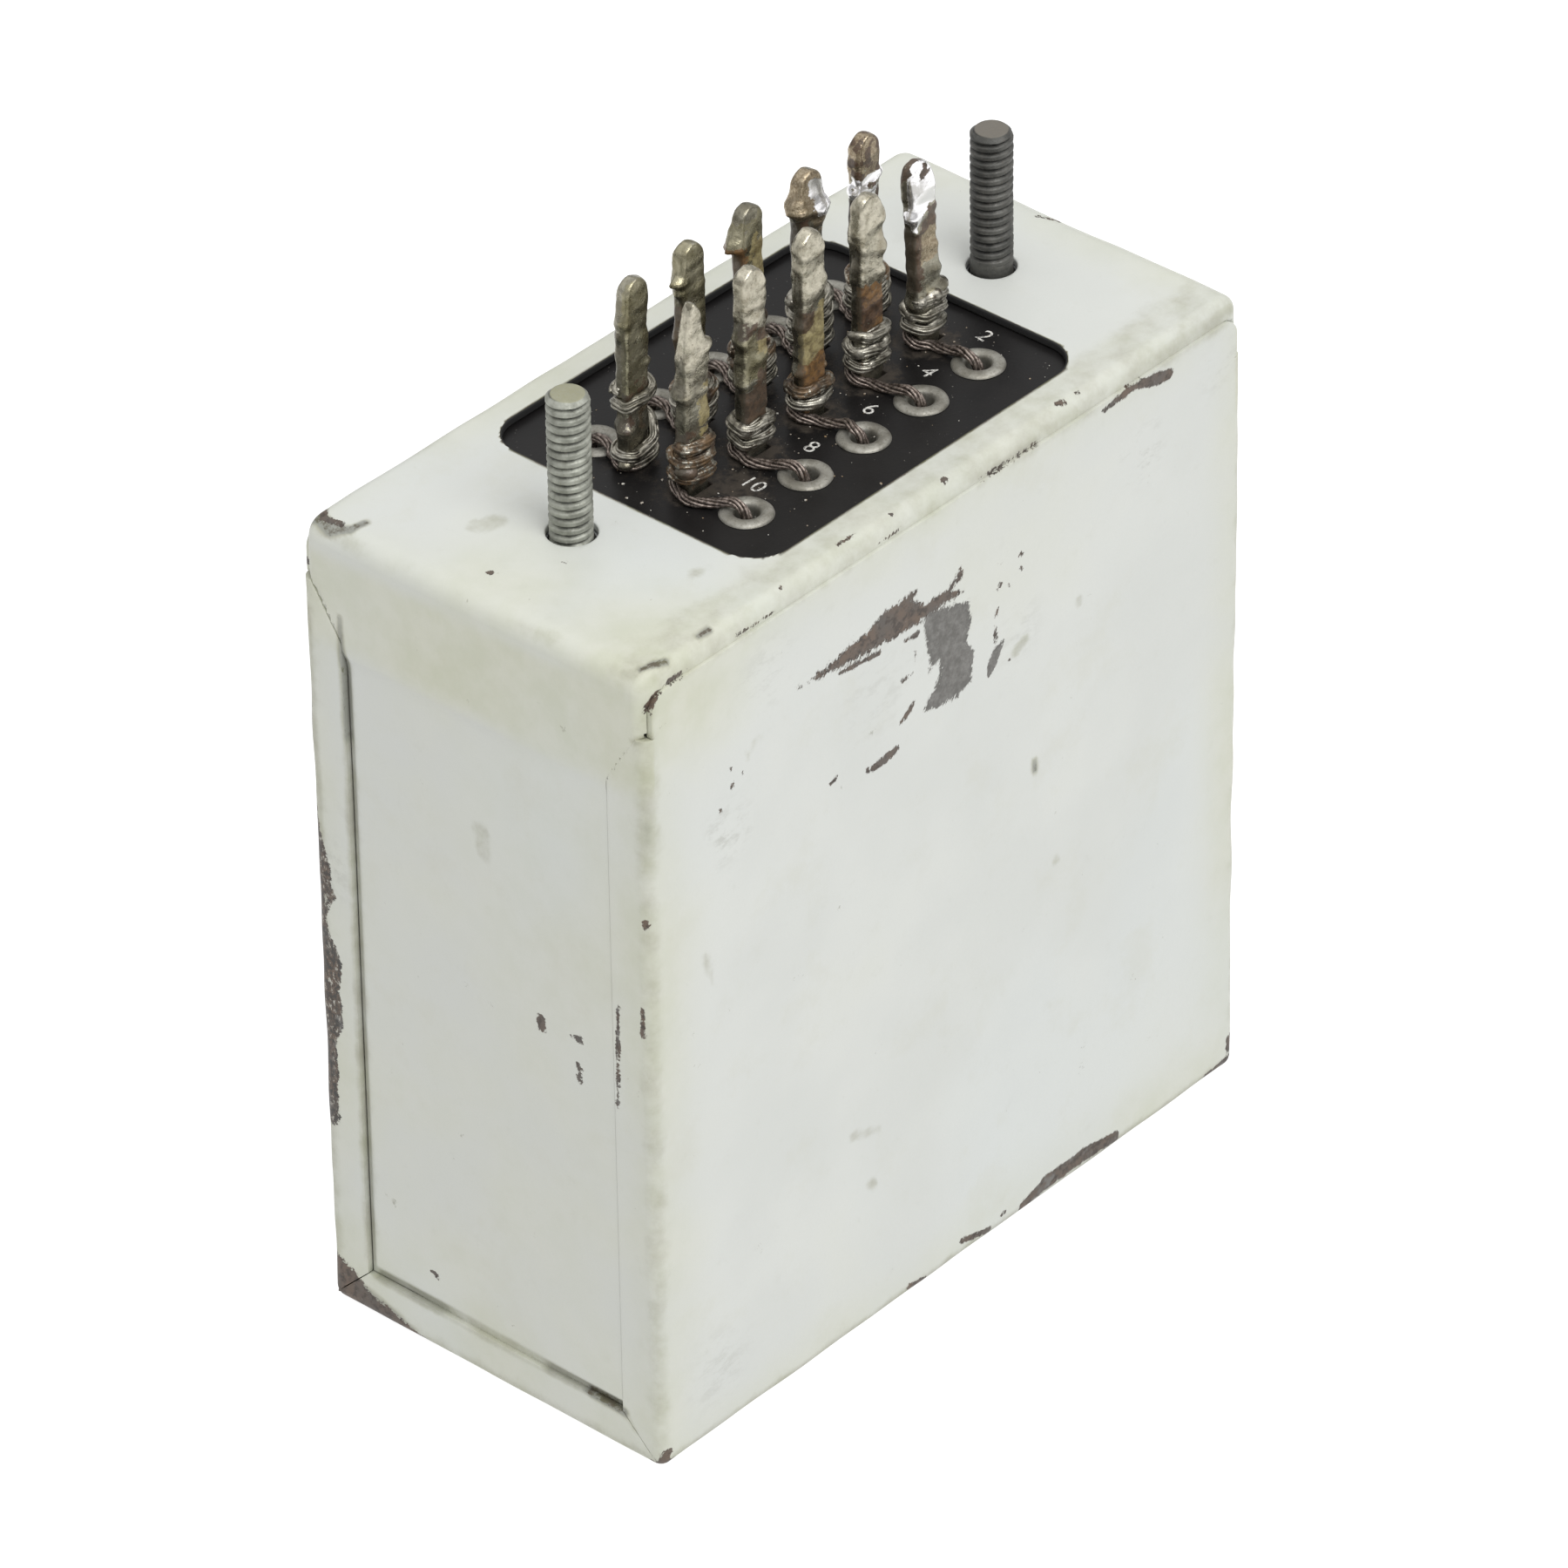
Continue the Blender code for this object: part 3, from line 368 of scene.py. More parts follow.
def eyelet_material():
    s = Shader("dull_tin_plate")
    broad = s.noise(2.4 * MM, 4.0, 0.6)
    fine = s.noise(0.25 * MM, 3.0, 0.6)
    color = s.ramp(broad, 0.3, 0.7, (0.195, 0.185, 0.155), (0.380, 0.370, 0.330))
    color = s.over(color, s.step(fine, 0.5, 0.72), 0.4, (0.10, 0.09, 0.065))
    return s.finish(color, s.line(fine, 0.3, 0.7, 0.42, 0.60), 0.65, s.bump(fine, 0.04 * MM))


def ink_material():
    s = Shader("worn_white_ink")
    gaps = s.step(s.noise(0.35 * MM, 3.0, 0.7), 0.50, 0.60)
    color = s.mix(gaps, (0.66, 0.65, 0.61), (0.20, 0.19, 0.18))
    return s.finish(color, 0.7, 0.0, s.bump(gaps, 0.02 * MM))


def crumb_material():
    s = Shader("flux_crumbs")
    color = s.mix(s.step(s.noise(1.0 * MM, 2.0), 0.4, 0.6), (0.55, 0.53, 0.48), (0.22, 0.15, 0.08))
    return s.finish(color, 0.5)


def inner_material(name, color, metallic, roughness, size):
    """The finish of a piece inside the can, which stays out of sight."""
    s = Shader(name)
    broad = s.noise(size, 4.0, 0.6)
    dark = tuple(channel * 0.72 for channel in color)
    mixed = s.ramp(broad, 0.3, 0.7, dark, color)
    rough = s.line(broad, 0.3, 0.7, roughness - 0.08, roughness + 0.08)
    return s.finish(mixed, rough, metallic, s.bump(broad, 0.05 * MM))


def floor_material():
    """A white floor that glows, so that the relay hardly shades it."""
    s = Shader("studio_floor")
    color = s.mix(s.noise(0.4, 2.0), (0.300, 0.300, 0.300), (0.305, 0.305, 0.305))
    s.put(s.principled.inputs["Emission Color"], (1.0, 1.0, 1.0, 1.0))
    s.put(s.principled.inputs["Emission Strength"], 0.90)
    return s.finish(color, 1.0, Specular_IOR_Level=0.0)


# ---------------------------------------------------------------- mesh tools
def new_piece(name, mesh, material):
    piece = bpy.data.objects.new(name, mesh)
    bpy.context.scene.collection.objects.link(piece)
    mesh.materials.clear()
    mesh.materials.append(material)
    return piece


def settle(piece, node=None):
    """Says where a piece rides, and hides the CAD node it stands for."""
    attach(piece, "root")
    if node:
        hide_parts(node)


def evaluated_mesh(piece):
    """The mesh that an object shows, with its modifiers applied."""
    bpy.context.view_layer.update()
    graph = bpy.context.evaluated_depsgraph_get()
    return bpy.data.meshes.new_from_object(piece.evaluated_get(graph), depsgraph=graph)


def apply_modifiers(piece):
    old = piece.data
    mesh = evaluated_mesh(piece)
    piece.modifiers.clear()
    piece.data = mesh
    bpy.data.meshes.remove(old)


def smooth(mesh, angle=40):
    mesh.shade_smooth()
    mesh.set_sharp_from_angle(angle=math.radians(angle))


def points_of(mesh):
    flat = np.empty(len(mesh.vertices) * 3)
    mesh.vertices.foreach_get("co", flat)
    return flat.reshape(-1, 3)


def set_points(mesh, points):
    mesh.vertices.foreach_set("co", points.astype(np.float32).ravel())
    mesh.update()


def set_attribute(mesh, name, values):
    layer = mesh.attributes.new(name, "FLOAT", "POINT")
    layer.data.foreach_set("value", np.asarray(values, dtype=np.float32))


def smoothstep(values, low, high):
    t = np.clip((values - low) / (high - low), 0.0, 1.0)
    return t * t * (3.0 - 2.0 * t)


def wobble(points, size, seed=0.0):
    """Smooth noise from -1 to 1 at each point, with features about size across."""
    shift = Vector((seed, seed * 1.7, seed * 0.3))
    return np.array([noise.noise(Vector(p) / size + shift) for p in points])


def spread(stops, spacings):
    """Values from the first stop to the last, each stretch at its own spacing."""
    values = [stops[0]]
    for low, high, spacing in zip(stops, stops[1:], spacings):
        count = max(1, round(abs(high - low) / spacing))
        values.extend(low + (high - low) * i / count for i in range(1, count + 1))
    return values


def arc(middle, radius, start, end, steps):
    angles = [math.radians(start + (end - start) * step / steps) for step in range(steps + 1)]
    return [(middle[0] + radius * math.cos(a), middle[1] + radius * math.sin(a)) for a in angles]


def circle(middle, radius, steps):
    return arc(middle, radius, 0, 360, steps)[:-1]


def rectangle(middle, size):
    signs = ((1, 1), (-1, 1), (-1, -1), (1, -1))
    return [(middle[0] + sx * size[0] / 2, middle[1] + sy * size[1] / 2) for sx, sy in signs]


def rounded_rectangle(middle, size, radius, steps):
    points = []
    for turn, (x, y) in enumerate(rectangle(middle, (size[0] - 2 * radius, size[1] - 2 * radius))):
        points.extend(arc((x, y), radius, 90 * turn, 90 * turn + 90, steps))
    return points


def grid_mesh(bm, rows, closed=False):
    """Quads between rows of points, or between rings if closed; returns the rows of vertices."""
    verts = [[bm.verts.new(point) for point in row] for row in rows]
    for lower, upper in zip(verts, verts[1:]):
        for i in range(len(lower) - (not closed)):
            j = (i + 1) % len(lower)
            bm.faces.new((lower[i], lower[j], upper[j], upper[i]))
    return verts


def add_tube(bm, rows):
    """A closed skin through rings of points, capped at both ends."""
    rings = grid_mesh(bm, rows, closed=True)
    bm.faces.new(list(reversed(rings[0])))
    bm.faces.new(rings[-1])


def tube_mesh(name, rows):
    bm = bmesh.new()
    add_tube(bm, rows)
    bmesh.ops.recalc_face_normals(bm, faces=bm.faces)
    return to_mesh(name, bm)


def to_mesh(name, bm):
    mesh = bpy.data.meshes.new(name)
    bm.to_mesh(mesh)
    bm.free()
    return mesh


# ---------------------------------------------------------------- wear of the can, in millimetres
HALF = (HALF_LENGTH / MM, HALF_DEPTH / MM)
TOP = HEIGHT / MM
# The distance taken where no chip is near, how deep under a face its marks still reach,
# and how much a stroke grows past its width
FAR = 2.0
SKIN = 1.6
STROKE_GROWTH = 0.10
FACE_AXES = {"front": (0, 2), "back": (0, 2), "left": (1, 2), "right": (1, 2), "top": (0, 1)}

# Paint chips: face, how bare (0 primer, 1 steel) and outline, as (a, b) along the face's two axes
CHIPS = (
    ("front", 0.10, [
        (-25.1, 91.5), (-20.0, 92.2), (-13.5, 92.9), (-12.2, 93.6), (-8.0, 94.0), (-6.1, 94.2),
        (-6.5, 92.8), (-4.4, 91.7), (-0.4, 91.6), (1.4, 93.1), (1.8, 92.2), (-0.1, 91.1),
        (1.7, 90.0), (-4.4, 89.8), (-10.9, 90.1), (-19.1, 90.6),
    ]),
    ("front", 0.90, [
        (-3.6, 89.9), (2.9, 88.4), (2.9, 85.9), (2.2, 83.1), (3.4, 81.3), (3.0, 77.9), (0.8, 76.7),
        (-3.1, 77.2), (-4.5, 78.0), (-1.8, 80.9), (-2.1, 83.0), (-3.6, 82.6), (-4.1, 85.4),
        (-4.3, 89.4),
    ]),
    ("left", 0.15, [
        (24.8, 0.0), (24.8, 7.0), (23.2, 5.8), (21.4, 5.2), (19.6, 3.2), (16.0, 2.4), (12.0, 1.2),
        (9.0, 0.0),
    ]),
)

# Chips and scratches along a line, by face: how bare, then (a, b, width) at each point
STROKES = {
    "front": (
        (0.0, (-18.5, 89.9, 0.2), (-12.1, 89.2, 0.4)),
        (0.0, (-7.7, 88.5, 0.3), (-5.7, 88.4, 0.3)),
        (0.2, (-6.1, 86.4, 0.15), (-6.0, 85.1, 0.15)),
        (0.2, (-8.4, 83.5, 0.2), (-6.7, 83.6, 0.2)),
        (0.0, (-8.5, 78.3, 0.35), (-7.4, 78.9, 0.6), (-6.6, 79.6, 0.3)),
        (0.0, (-12.9, 74.7, 0.7), (-11.0, 74.9, 1.0), (-9.5, 75.2, 0.8)),
        (0.0, (-14.2, 74.9, 0.2), (-14.0, 74.9, 0.2)),
        (0.3, (-20.1, 76.5, 0.2), (-19.1, 76.8, 0.2)),
        (0.8, (6.2, 77.0, 0.5), (6.7, 78.0, 1.4), (7.4, 79.2, 1.3), (8.4, 79.9, 0.3)),
        (0.0, (9.5, 77.0, 0.25), (9.7, 77.0, 0.25)),
        (0.2, (7.2, 83.9, 0.2), (7.7, 84.8, 0.2)),
        (0.2, (7.1, 82.6, 0.2), (7.2, 80.8, 0.15)),
        (0.0, (7.7, 87.3, 0.2), (8.0, 87.6, 0.2)),
        (0.0, (11.3, 89.9, 0.4), (11.5, 89.9, 0.4)),
        (0.0, (11.4, 88.0, 0.3), (11.4, 87.9, 0.3)),
        (0.0, (9.4, 86.9, 0.2), (9.4, 86.8, 0.2)),
        (0.1, (25.4, 101.4, 0.4), (29.7, 101.9, 0.6), (31.8, 101.7, 1.0), (34.7, 100.9, 1.4),
         (36.4, 100.6, 1.2)),
        (0.0, (-48.4, 100.2, 0.0), (-48.1, 101.2, 0.25), (-47.3, 102.1, 0.25), (-46.0, 102.55, 0.15),
         (-44.0, 102.7, 0.1), (-42.0, 102.7, 0.0)),
        (0.0, (-36.1, 86.8, 0.25), (-35.8, 87.2, 0.1)),
        (0.0, (-34.3, 85.5, 0.3), (-34.2, 85.6, 0.2)),
        (0.0, (-36.0, 84.6, 0.4), (-35.7, 84.8, 0.3)),
        (0.0, (-38.0, 82.3, 0.25), (-37.8, 82.6, 0.2)),
        (0.0, (-11.6, 102.9, 0.0), (-8.0, 102.9, 0.05)),
        (0.0, (-34.4, 102.9, 0.0), (-28.5, 102.9, 0.0)),
        (0.0, (5.0, 102.75, 0.0), (9.0, 102.7, 0.1), (15.0, 102.65, 0.0)),
        (0.2, (1.1, 2.4, 0.5), (5.7, 1.3, 0.8)),
        (0.3, (11.7, 1.1, 0.9), (15.6, 2.2, 1.6), (23.2, 2.3, 1.9), (27.9, 1.6, 1.1)),
        (0.0, (7.9, 2.1, 0.3), (8.6, 2.2, 0.3)),
        (0.0, (-7.9, 1.2, 0.6), (-5.4, 0.8, 0.6)),
        (0.0, (44.0, 0.8, 0.4), (49.0, 1.4, 0.7)),
        (0.0, (-49.0, 0.6, 1.0), (-47.2, 0.4, 0.8)),
    ),
    "left": (
        (0.3, (24.3, 67.0, 0.5), (24.0, 63.0, 1.2), (23.4, 59.5, 2.6), (23.5, 57.2, 1.8)),
        (0.0, (23.3, 56.4, 0.9), (22.2, 56.2, 1.1), (21.5, 55.3, 0.2)),
        (0.2, (24.2, 55.4, 1.0), (23.4, 54.4, 1.4), (22.7, 54.8, 0.8)),
        (0.3, (24.2, 53.5, 0.8), (23.6, 50.0, 2.2), (22.9, 47.5, 3.4), (23.0, 45.0, 3.2)),
        (0.4, (23.3, 43.4, 2.4), (22.9, 41.5, 3.0), (22.9, 39.0, 3.0), (23.4, 36.2, 1.8)),
        (0.3, (23.5, 35.8, 1.8), (23.4, 32.0, 2.2), (23.5, 29.0, 1.8), (23.5, 25.2, 1.8)),
        (0.0, (23.6, 27.6, 0.3), (22.0, 25.4, 0.3), (21.6, 25.2, 0.4)),
        (0.0, (24.7, 98.6, 0.4), (24.3, 98.0, 0.5)),
        (0.0, (24.6, 84.0, 0.3), (24.5, 78.0, 0.4), (24.6, 71.0, 0.5)),
        (0.1, (-8.4, 54.0, 0.9), (-8.5, 52.9, 1.2)),
        (0.1, (-12.9, 53.9, 0.3), (-14.2, 53.8, 0.5)),
        (0.1, (-13.8, 50.3, 0.5), (-14.0, 49.7, 0.4)),
        (0.1, (-13.8, 48.6, 0.5), (-14.0, 48.2, 0.4)),
        (0.3, (-19.9, 61.1, 0.15), (-19.5, 47.6, 0.2)),
        (0.1, (-23.4, 62.2, 0.3), (-23.3, 58.7, 0.35)),
        (0.0, (9.4, 10.7, 0.3), (8.6, 10.2, 0.4)),
        (0.0, (-23.9, 73.6, 0.5), (-24.0, 73.0, 0.5)),
        (0.0, (-24.3, 0.3, 1.2), (-24.6, 2.2, 0.7)),
    ),
    "top": (
        (0.0, (-37.8, -3.1, 0.3), (-37.6, -3.1, 0.3)),
        (0.0, (-44.3, 1.6, 0.5), (-44.1, 1.7, 0.4)),
        (0.0, (0.1, -23.5, 0.5), (0.3, -23.5, 0.5)),
        (0.0, (-16.7, -22.9, 0.0), (-15.5, -23.0, 0.1), (-13.8, -22.9, 0.0)),
        (0.0, (-26.6, -23.5, 0.2), (-26.3, -23.5, 0.2)),
        (0.0, (-8.4, -23.4, 0.1), (-8.2, -23.4, 0.1)),
        (0.0, (19.2, -23.1, 0.1), (20.2, -23.3, 0.3)),
        (0.0, (22.4, -23.1, 0.2), (22.8, -23.3, 0.1)),
        (0.3, (47.0, 3.0, 0.3), (48.1, 0.8, 0.3)),
        (0.0, (-47.4, 20.0, 0.5), (-47.8, 22.4, 0.8), (-46.6, 23.4, 0.6)),
    ),
    "back": (
        (0.2, (-31.0, 96.0, 1.2), (-27.0, 95.0, 0.6), (-24.5, 92.5, 0.4)),
        (0.5, (12.0, 48.0, 0.3), (20.0, 60.0, 0.2)),
        (0.1, (38.0, 1.2, 1.2), (44.0, 1.6, 1.8), (48.5, 2.6, 1.2)),
        (0.1, (-12.0, 1.0, 0.6), (-4.0, 1.3, 1.0)),
    ),
    "right": (
        (0.2, (22.0, 99.0, 0.6), (23.6, 95.0, 0.9), (24.3, 90.0, 0.6)),
        (0.5, (-6.0, 38.0, 0.25), (3.0, 44.0, 0.2)),
        (0.1, (24.5, 8.0, 1.0), (24.0, 2.0, 1.4), (17.0, 0.8, 0.8)),
        (0.1, (-24.5, 4.0, 0.8), (-23.8, 1.0, 1.2)),
    ),
}

# Dirt along a line, by face, and painted shade along the grooves and joints of the end panels: strength,
# then (a, b, width) at each point
GRIME_AND_SHADE = {
    "front": (
        (0.66, (6.9, 103.0, 0.1), (14.9, 103.0, 0.1)),
        (0.88, (13.7, 61.2, 0.2), (13.8, 59.9, 0.3)),
        (0.50, (-17.2, 27.5, 0.5), (-12.8, 26.0, 0.3)),
        (0.60, (10.6, 77.6, 0.9), (12.2, 78.3, 0.5)),
        (0.60, (21.3, 78.7, 0.5), (21.3, 78.5, 0.5)),
        (0.50, (17.4, 46.0, 0.5), (17.4, 45.8, 0.5)),
        (0.42, (-33.3, 87.0, 0.3), (-32.0, 88.6, 0.2)),
        (0.50, (-40.8, 65.0, 0.4), (-39.6, 61.0, 0.3)),
        (0.55, (-14.4, 19.4, 0.7), (-13.8, 18.8, 0.6)),
        # Painted shade in the gap beside the plate's upper corner
        (0.34, (-48.4, 97.2, 0.3), (-48.4, 101.0, 0.4)),
    ),
    "left": (
        # Painted shade in the crack at the top corner of the near flange
        (0.62, (-24.6, 97.4, 0.2), (-23.0, 96.6, 0.2)),
        # Dirt, and painted shade, along the groove beside the far flange
        (0.80, (18.9, 88.0, 0.2), (18.9, 78.0, 0.2)),
        (0.58, (18.9, 78.0, 0.2), (18.9, 7.6, 0.3)),
        (0.30, (18.2, 88.0, 0.6), (18.2, 8.0, 0.6)),
        (0.85, (19.1, 94.0, 0.2), (19.0, 88.0, 0.3)),
        # Dirt, and painted shade, along the groove above the bottom flange
        (1.00, (-19.3, 5.8, 0.5), (-14.0, 5.8, 0.3)),
        (0.70, (-14.0, 6.0, 0.8), (-8.0, 6.0, 0.8)),
        (0.50, (-8.0, 6.0, 1.0), (8.0, 6.1, 1.2)),
        (0.70, (8.0, 6.1, 1.0), (17.5, 6.0, 0.6)),
        (0.55, (-19.4, 5.6, 0.3), (-20.6, 4.0, 0.3)),
        (0.42, (-0.4, 74.4, 1.8), (-0.6, 72.0, 1.5)),
        (0.55, (24.2, 92.0, 1.2), (24.2, 70.0, 1.8), (24.2, 28.0, 2.2)),
        (0.75, (24.8, 3.0, 4.5), (21.0, 1.5, 5.0), (14.0, 0.5, 3.0)),
    ),
    "top": (
        (0.95, (-47.6, 24.0, 0.9), (-48.4, 20.6, 0.7), (-47.6, 18.6, 0.5), (-45.8, 18.2, 0.4)),
        (1.08, (-47.3, -22.4, 0.1), (-45.6, -22.9, 0.25), (-44.2, -23.3, 0.1)),
        (1.04, (-38.8, -23.0, 0.05), (-37.2, -23.0, 0.2)),
        (0.60, (-48.4, -21.0, 0.4), (-48.2, -22.2, 0.6)),
        (0.45, (-30.5, -15.0, 0.8), (-30.1, -15.0, 0.8)),
        (0.42, (-38.4, 8.4, 2.2), (-36.6, 7.8, 1.8)),
        (0.50, (-40.0, 24.2, 0.8), (48.0, 24.2, 0.8)),
    ),
}

# Soft grime round an edge: one end and the other in millimetres, reach and strength at each end
EDGE_GRIME = (
    ((-49.5, -24.8, 97.0), (-49.5, -24.8, 86.0), 2.6, 0.50, 0.62),
    ((-49.5, -24.8, 86.0), (-49.5, -24.8, 80.0), 2.4, 0.74, 0.52),
    ((-49.5, -24.8, 80.0), (-49.5, -24.8, 0.0), 2.2, 0.48, 0.40),
    ((-46.0, -24.8, 103.2), (10.0, -24.8, 103.2), 1.3, 0.44, 0.46),
    ((10.0, -24.8, 103.2), (48.0, -24.8, 103.2), 1.8, 0.48, 0.64),
    ((49.5, -24.8, 102.0), (49.5, -24.8, 0.0), 1.6, 0.45, 0.45),
    ((-49.5, -24.8, 0.2), (49.5, -24.8, 0.2), 1.6, 0.62, 0.74),
    ((-49.5, -24.8, 0.0), (-49.5, 24.8, 0.0), 2.4, 0.48, 0.66),
    ((-49.5, 24.8, 97.0), (-49.5, 24.8, 0.0), 3.0, 0.48, 0.62),
    ((-49.5, 24.8, 104.8), (49.5, 24.8, 104.8), 2.0, 0.55, 0.45),
    ((49.5, 24.8, 100.0), (49.5, 24.8, 0.0), 2.0, 0.50, 0.55),
    ((-49.5, 24.8, 0.0), (49.5, 24.8, 0.0), 2.2, 0.50, 0.55),
    ((49.5, -24.8, 0.0), (49.5, 24.8, 0.0), 2.2, 0.50, 0.55),
)

# Yellowing: place, reach and strength
YELLOWED = (
    ((-49.5, -24.8, 104.8), 28.0, 0.90),
    ((-49.5, 24.8, 104.8), 15.0, 0.55),
    ((-49.5, 24.8, 0.0), 26.0, 1.00),
    ((-49.5, -2.0, 0.0), 24.0, 0.75),
    ((-49.5, -24.8, 0.0), 22.0, 0.55),
    ((-49.5, -24.8, 40.0), 16.0, 0.30),
    ((10.0, -24.8, 104.8), 34.0, 0.35),
    ((-49.5, 0.0, 104.8), 24.0, 0.60),
    ((-15.0, -24.8, 0.0), 22.0, 0.35),
    ((49.5, 24.8, 50.0), 30.0, 0.40),
    ((0.0, 24.8, 60.0), 30.0, 0.20),
)

# Rubbed places: face, centre, reach and strength
SCUFFS = (
    ("front", (32.0, 92.5), 5.5, 0.75),
    ("front", (-37.0, 79.0), 6.0, 0.70),
    ("front", (-30.0, 96.0), 7.0, 0.45),
    ("front", (-12.0, 84.0), 9.0, 0.35),
    ("front", (11.0, 80.0), 6.0, 0.40),
    ("front", (-40.0, 9.0), 8.0, 0.45),
    ("front", (46.0, 97.0), 6.0, 0.40),
    ("back", (0.0, 55.0), 16.0, 0.40),
    ("back", (30.0, 85.0), 9.0, 0.60),
    ("right", (4.0, 60.0), 14.0, 0.40),
    ("left", (22.0, 60.0), 6.0, 0.50),
)


def stroke_distance(points, start, stop):
    """Distance from points to a tapering stroke, each end given as (a, b, width)."""
    start, stop = np.array(start), np.array(stop)
    run = stop - start
    t = np.clip((points - start[:2]) @ run[:2] / max(run[:2] @ run[:2], 1e-9), 0.0, 1.0)
    reach = np.linalg.norm(points - start[:2] - t[:, None] * run[:2], axis=1)
    return reach - (start[2] + t * run[2]) / 2


def outline_distance(points, outline):
    """Signed distance from points to a closed outline, negative inside."""
    inside = np.zeros(len(points), bool)
    nearest = np.full(len(points), np.inf)
    for (ax, ay), (bx, by) in zip(outline, outline[1:] + outline[:1]):
        nearest = np.minimum(nearest, stroke_distance(points, (ax, ay, 0.0), (bx, by, 0.0)))
        if ay != by:
            crossing = ax + (points[:, 1] - ay) / (by - ay) * (bx - ax)
            inside ^= ((ay > points[:, 1]) != (by > points[:, 1])) & (points[:, 0] < crossing)
    return np.where(inside, -nearest, nearest)


def line_distance(points, line):
    return np.min([stroke_distance(points, a, b) for a, b in zip(line, line[1:])], axis=0)


def chips_at(points, on_face):
    """How far each point is from a chip, negative inside it, and how bare that chip is."""
    chip = np.full(len(points), FAR)
    bare = np.zeros(len(points))
    for face, bareness, outline in CHIPS:
        near = np.where(on_face[face], outline_distance(points[:, FACE_AXES[face]], outline), FAR)
        bare = np.where(near < chip, bareness, bare)
        chip = np.minimum(chip, near)
    for face, strokes in STROKES.items():
        for bareness, *line in strokes:
            near = 2.0 * (line_distance(points[:, FACE_AXES[face]], line) - STROKE_GROWTH)
            near = np.where(on_face[face], near, FAR)
            bare = np.where(near < chip, bareness, bare)
            chip = np.minimum(chip, near)
    return chip, bare


def dirt_at(points, side, depth, lid, on_face):
    """Dirt in the corners, along the drawn lines and round the edges, with painted shade along the lines in
    the end panels' grooves and joints; darker inside the can; 1.5 on the window's cut edge.
    """
    z = points[:, 2]
    corner = np.maximum.reduce([
        1.0 - np.maximum(side, depth) / 2.2, 1.0 - np.maximum(side, lid) / 2.4,
        1.0 - np.maximum(depth, z) / 2.4, 1.0 - np.maximum(side, z) / 2.4,
    ])
    patches = wobble(points, 7.0, 3.0)
    dirt_and_shade = np.clip(corner, 0.0, 1.0) * np.clip(0.30 + 0.45 * patches, 0.0, 0.8)
    for face, dark_lines in GRIME_AND_SHADE.items():
        for strength, *line in dark_lines:
            near = line_distance(points[:, FACE_AXES[face]], line)
            value = strength * (1.0 - smoothstep(near, 0.0, 0.9))
            dirt_and_shade = np.maximum(dirt_and_shade, np.where(on_face[face], value, 0.0))
    for start, stop, reach, first, last in EDGE_GRIME:
        start, run = np.array(start), np.array(stop) - np.array(start)
        t = np.clip((points - start) @ run / (run @ run), 0.0, 1.0)
        near = np.linalg.norm(points - start - t[:, None] * run, axis=1)
        dirt_and_shade = np.maximum(dirt_and_shade, (first + (last - first) * t) * (1.0 - smoothstep(near, 0.3, reach + 0.7)))
    under_lid = (lid > 1.2) & (side > 1.7) & (depth > 1.4) & (z > 1.2)
    dirt_and_shade = np.maximum(dirt_and_shade, np.where(under_lid, 0.8, 0.0))
    radius = WINDOW_CORNER / MM
    over = np.abs(points[:, :2] - np.array(PANEL)[:2] / MM) - (np.array(WINDOW) / 2 / MM - radius)
    from_window = np.linalg.norm(np.maximum(over, 0.0), axis=1) + np.minimum(over.max(axis=1), 0.0) - radius
    return np.where((from_window < 0.12) & (lid < 3.0), 1.5, dirt_and_shade)


def yellow_at(points, side, depth, lid):
    """Yellowing round places, in a band under the top of each end, along the seam and near edges."""
    z = points[:, 2]
    yellow = np.zeros(len(points))
    for place, reach, strength in YELLOWED:
        near = np.linalg.norm(points - np.array(place), axis=1)
        yellow = np.maximum(yellow, strength * (1.0 - smoothstep(near, 0.0, reach)))
    band = 0.90 * smoothstep(z, 86.0, 92.0) * (1.0 - smoothstep(z, 100.0, 104.0))
    yellow = np.where(side < 1.5, np.maximum(yellow, np.maximum(band, 0.38)), yellow)
    seam = 0.5 * (1.0 - smoothstep(np.abs(lid - 1.5), 0.5, 3.5)) * (depth < 3.0)
    rim = np.sort(np.stack([side, depth, np.minimum(lid, z)]), axis=0)[1]
    return np.maximum.reduce([yellow, seam, 0.56 * (1.0 - smoothstep(rim, 0.5, 12.0))])


def scuffs_at(points, on_face):
    """How rubbed the paint is at each point."""
    scuff = np.zeros(len(points))
    for face, place, reach, strength in SCUFFS:
        near = np.linalg.norm(points[:, FACE_AXES[face]] - np.array(place), axis=1)
        value = np.where(on_face[face], strength * (1.0 - smoothstep(near, 0.0, reach)), 0.0)
        scuff = np.maximum(scuff, value)
    return scuff


def add_wear(mesh):
    """Stores chips, bareness, dirt with painted shade, yellowing and rubbing at each point of the can's
    sheets.
    """
    points = points_of(mesh) / MM
    x, y, z = points.T
    side, depth, lid = HALF[0] - np.abs(x), HALF[1] - np.abs(y), TOP - z
    on_face = {
        "front": (depth < SKIN) & (y < 0), "back": (depth < SKIN) & (y > 0),
        "left": (side < SKIN) & (x < 0), "right": (side < SKIN) & (x > 0), "top": lid < SKIN,
    }
    chip, bare = chips_at(points, on_face)
    shelf = (1.0 - smoothstep(depth, 4.5, 8.0)) * (1.0 - smoothstep(lid, 1.5, 3.0)) * (y < 0)
    dirt_and_shade = np.maximum(dirt_at(points, side, depth, lid, on_face), 0.36 * shelf)
    yellow = np.maximum(yellow_at(points, side, depth, lid), 0.50 * shelf)
    scuff = scuffs_at(points, on_face)
    speckled = (x < 0) & (y > 15.0) & (z < 75.0) & (z > 20.0)
    for name, values in zip(WEAR, (chip, bare, dirt_and_shade, yellow, scuff, speckled)):
        set_attribute(mesh, name, values)


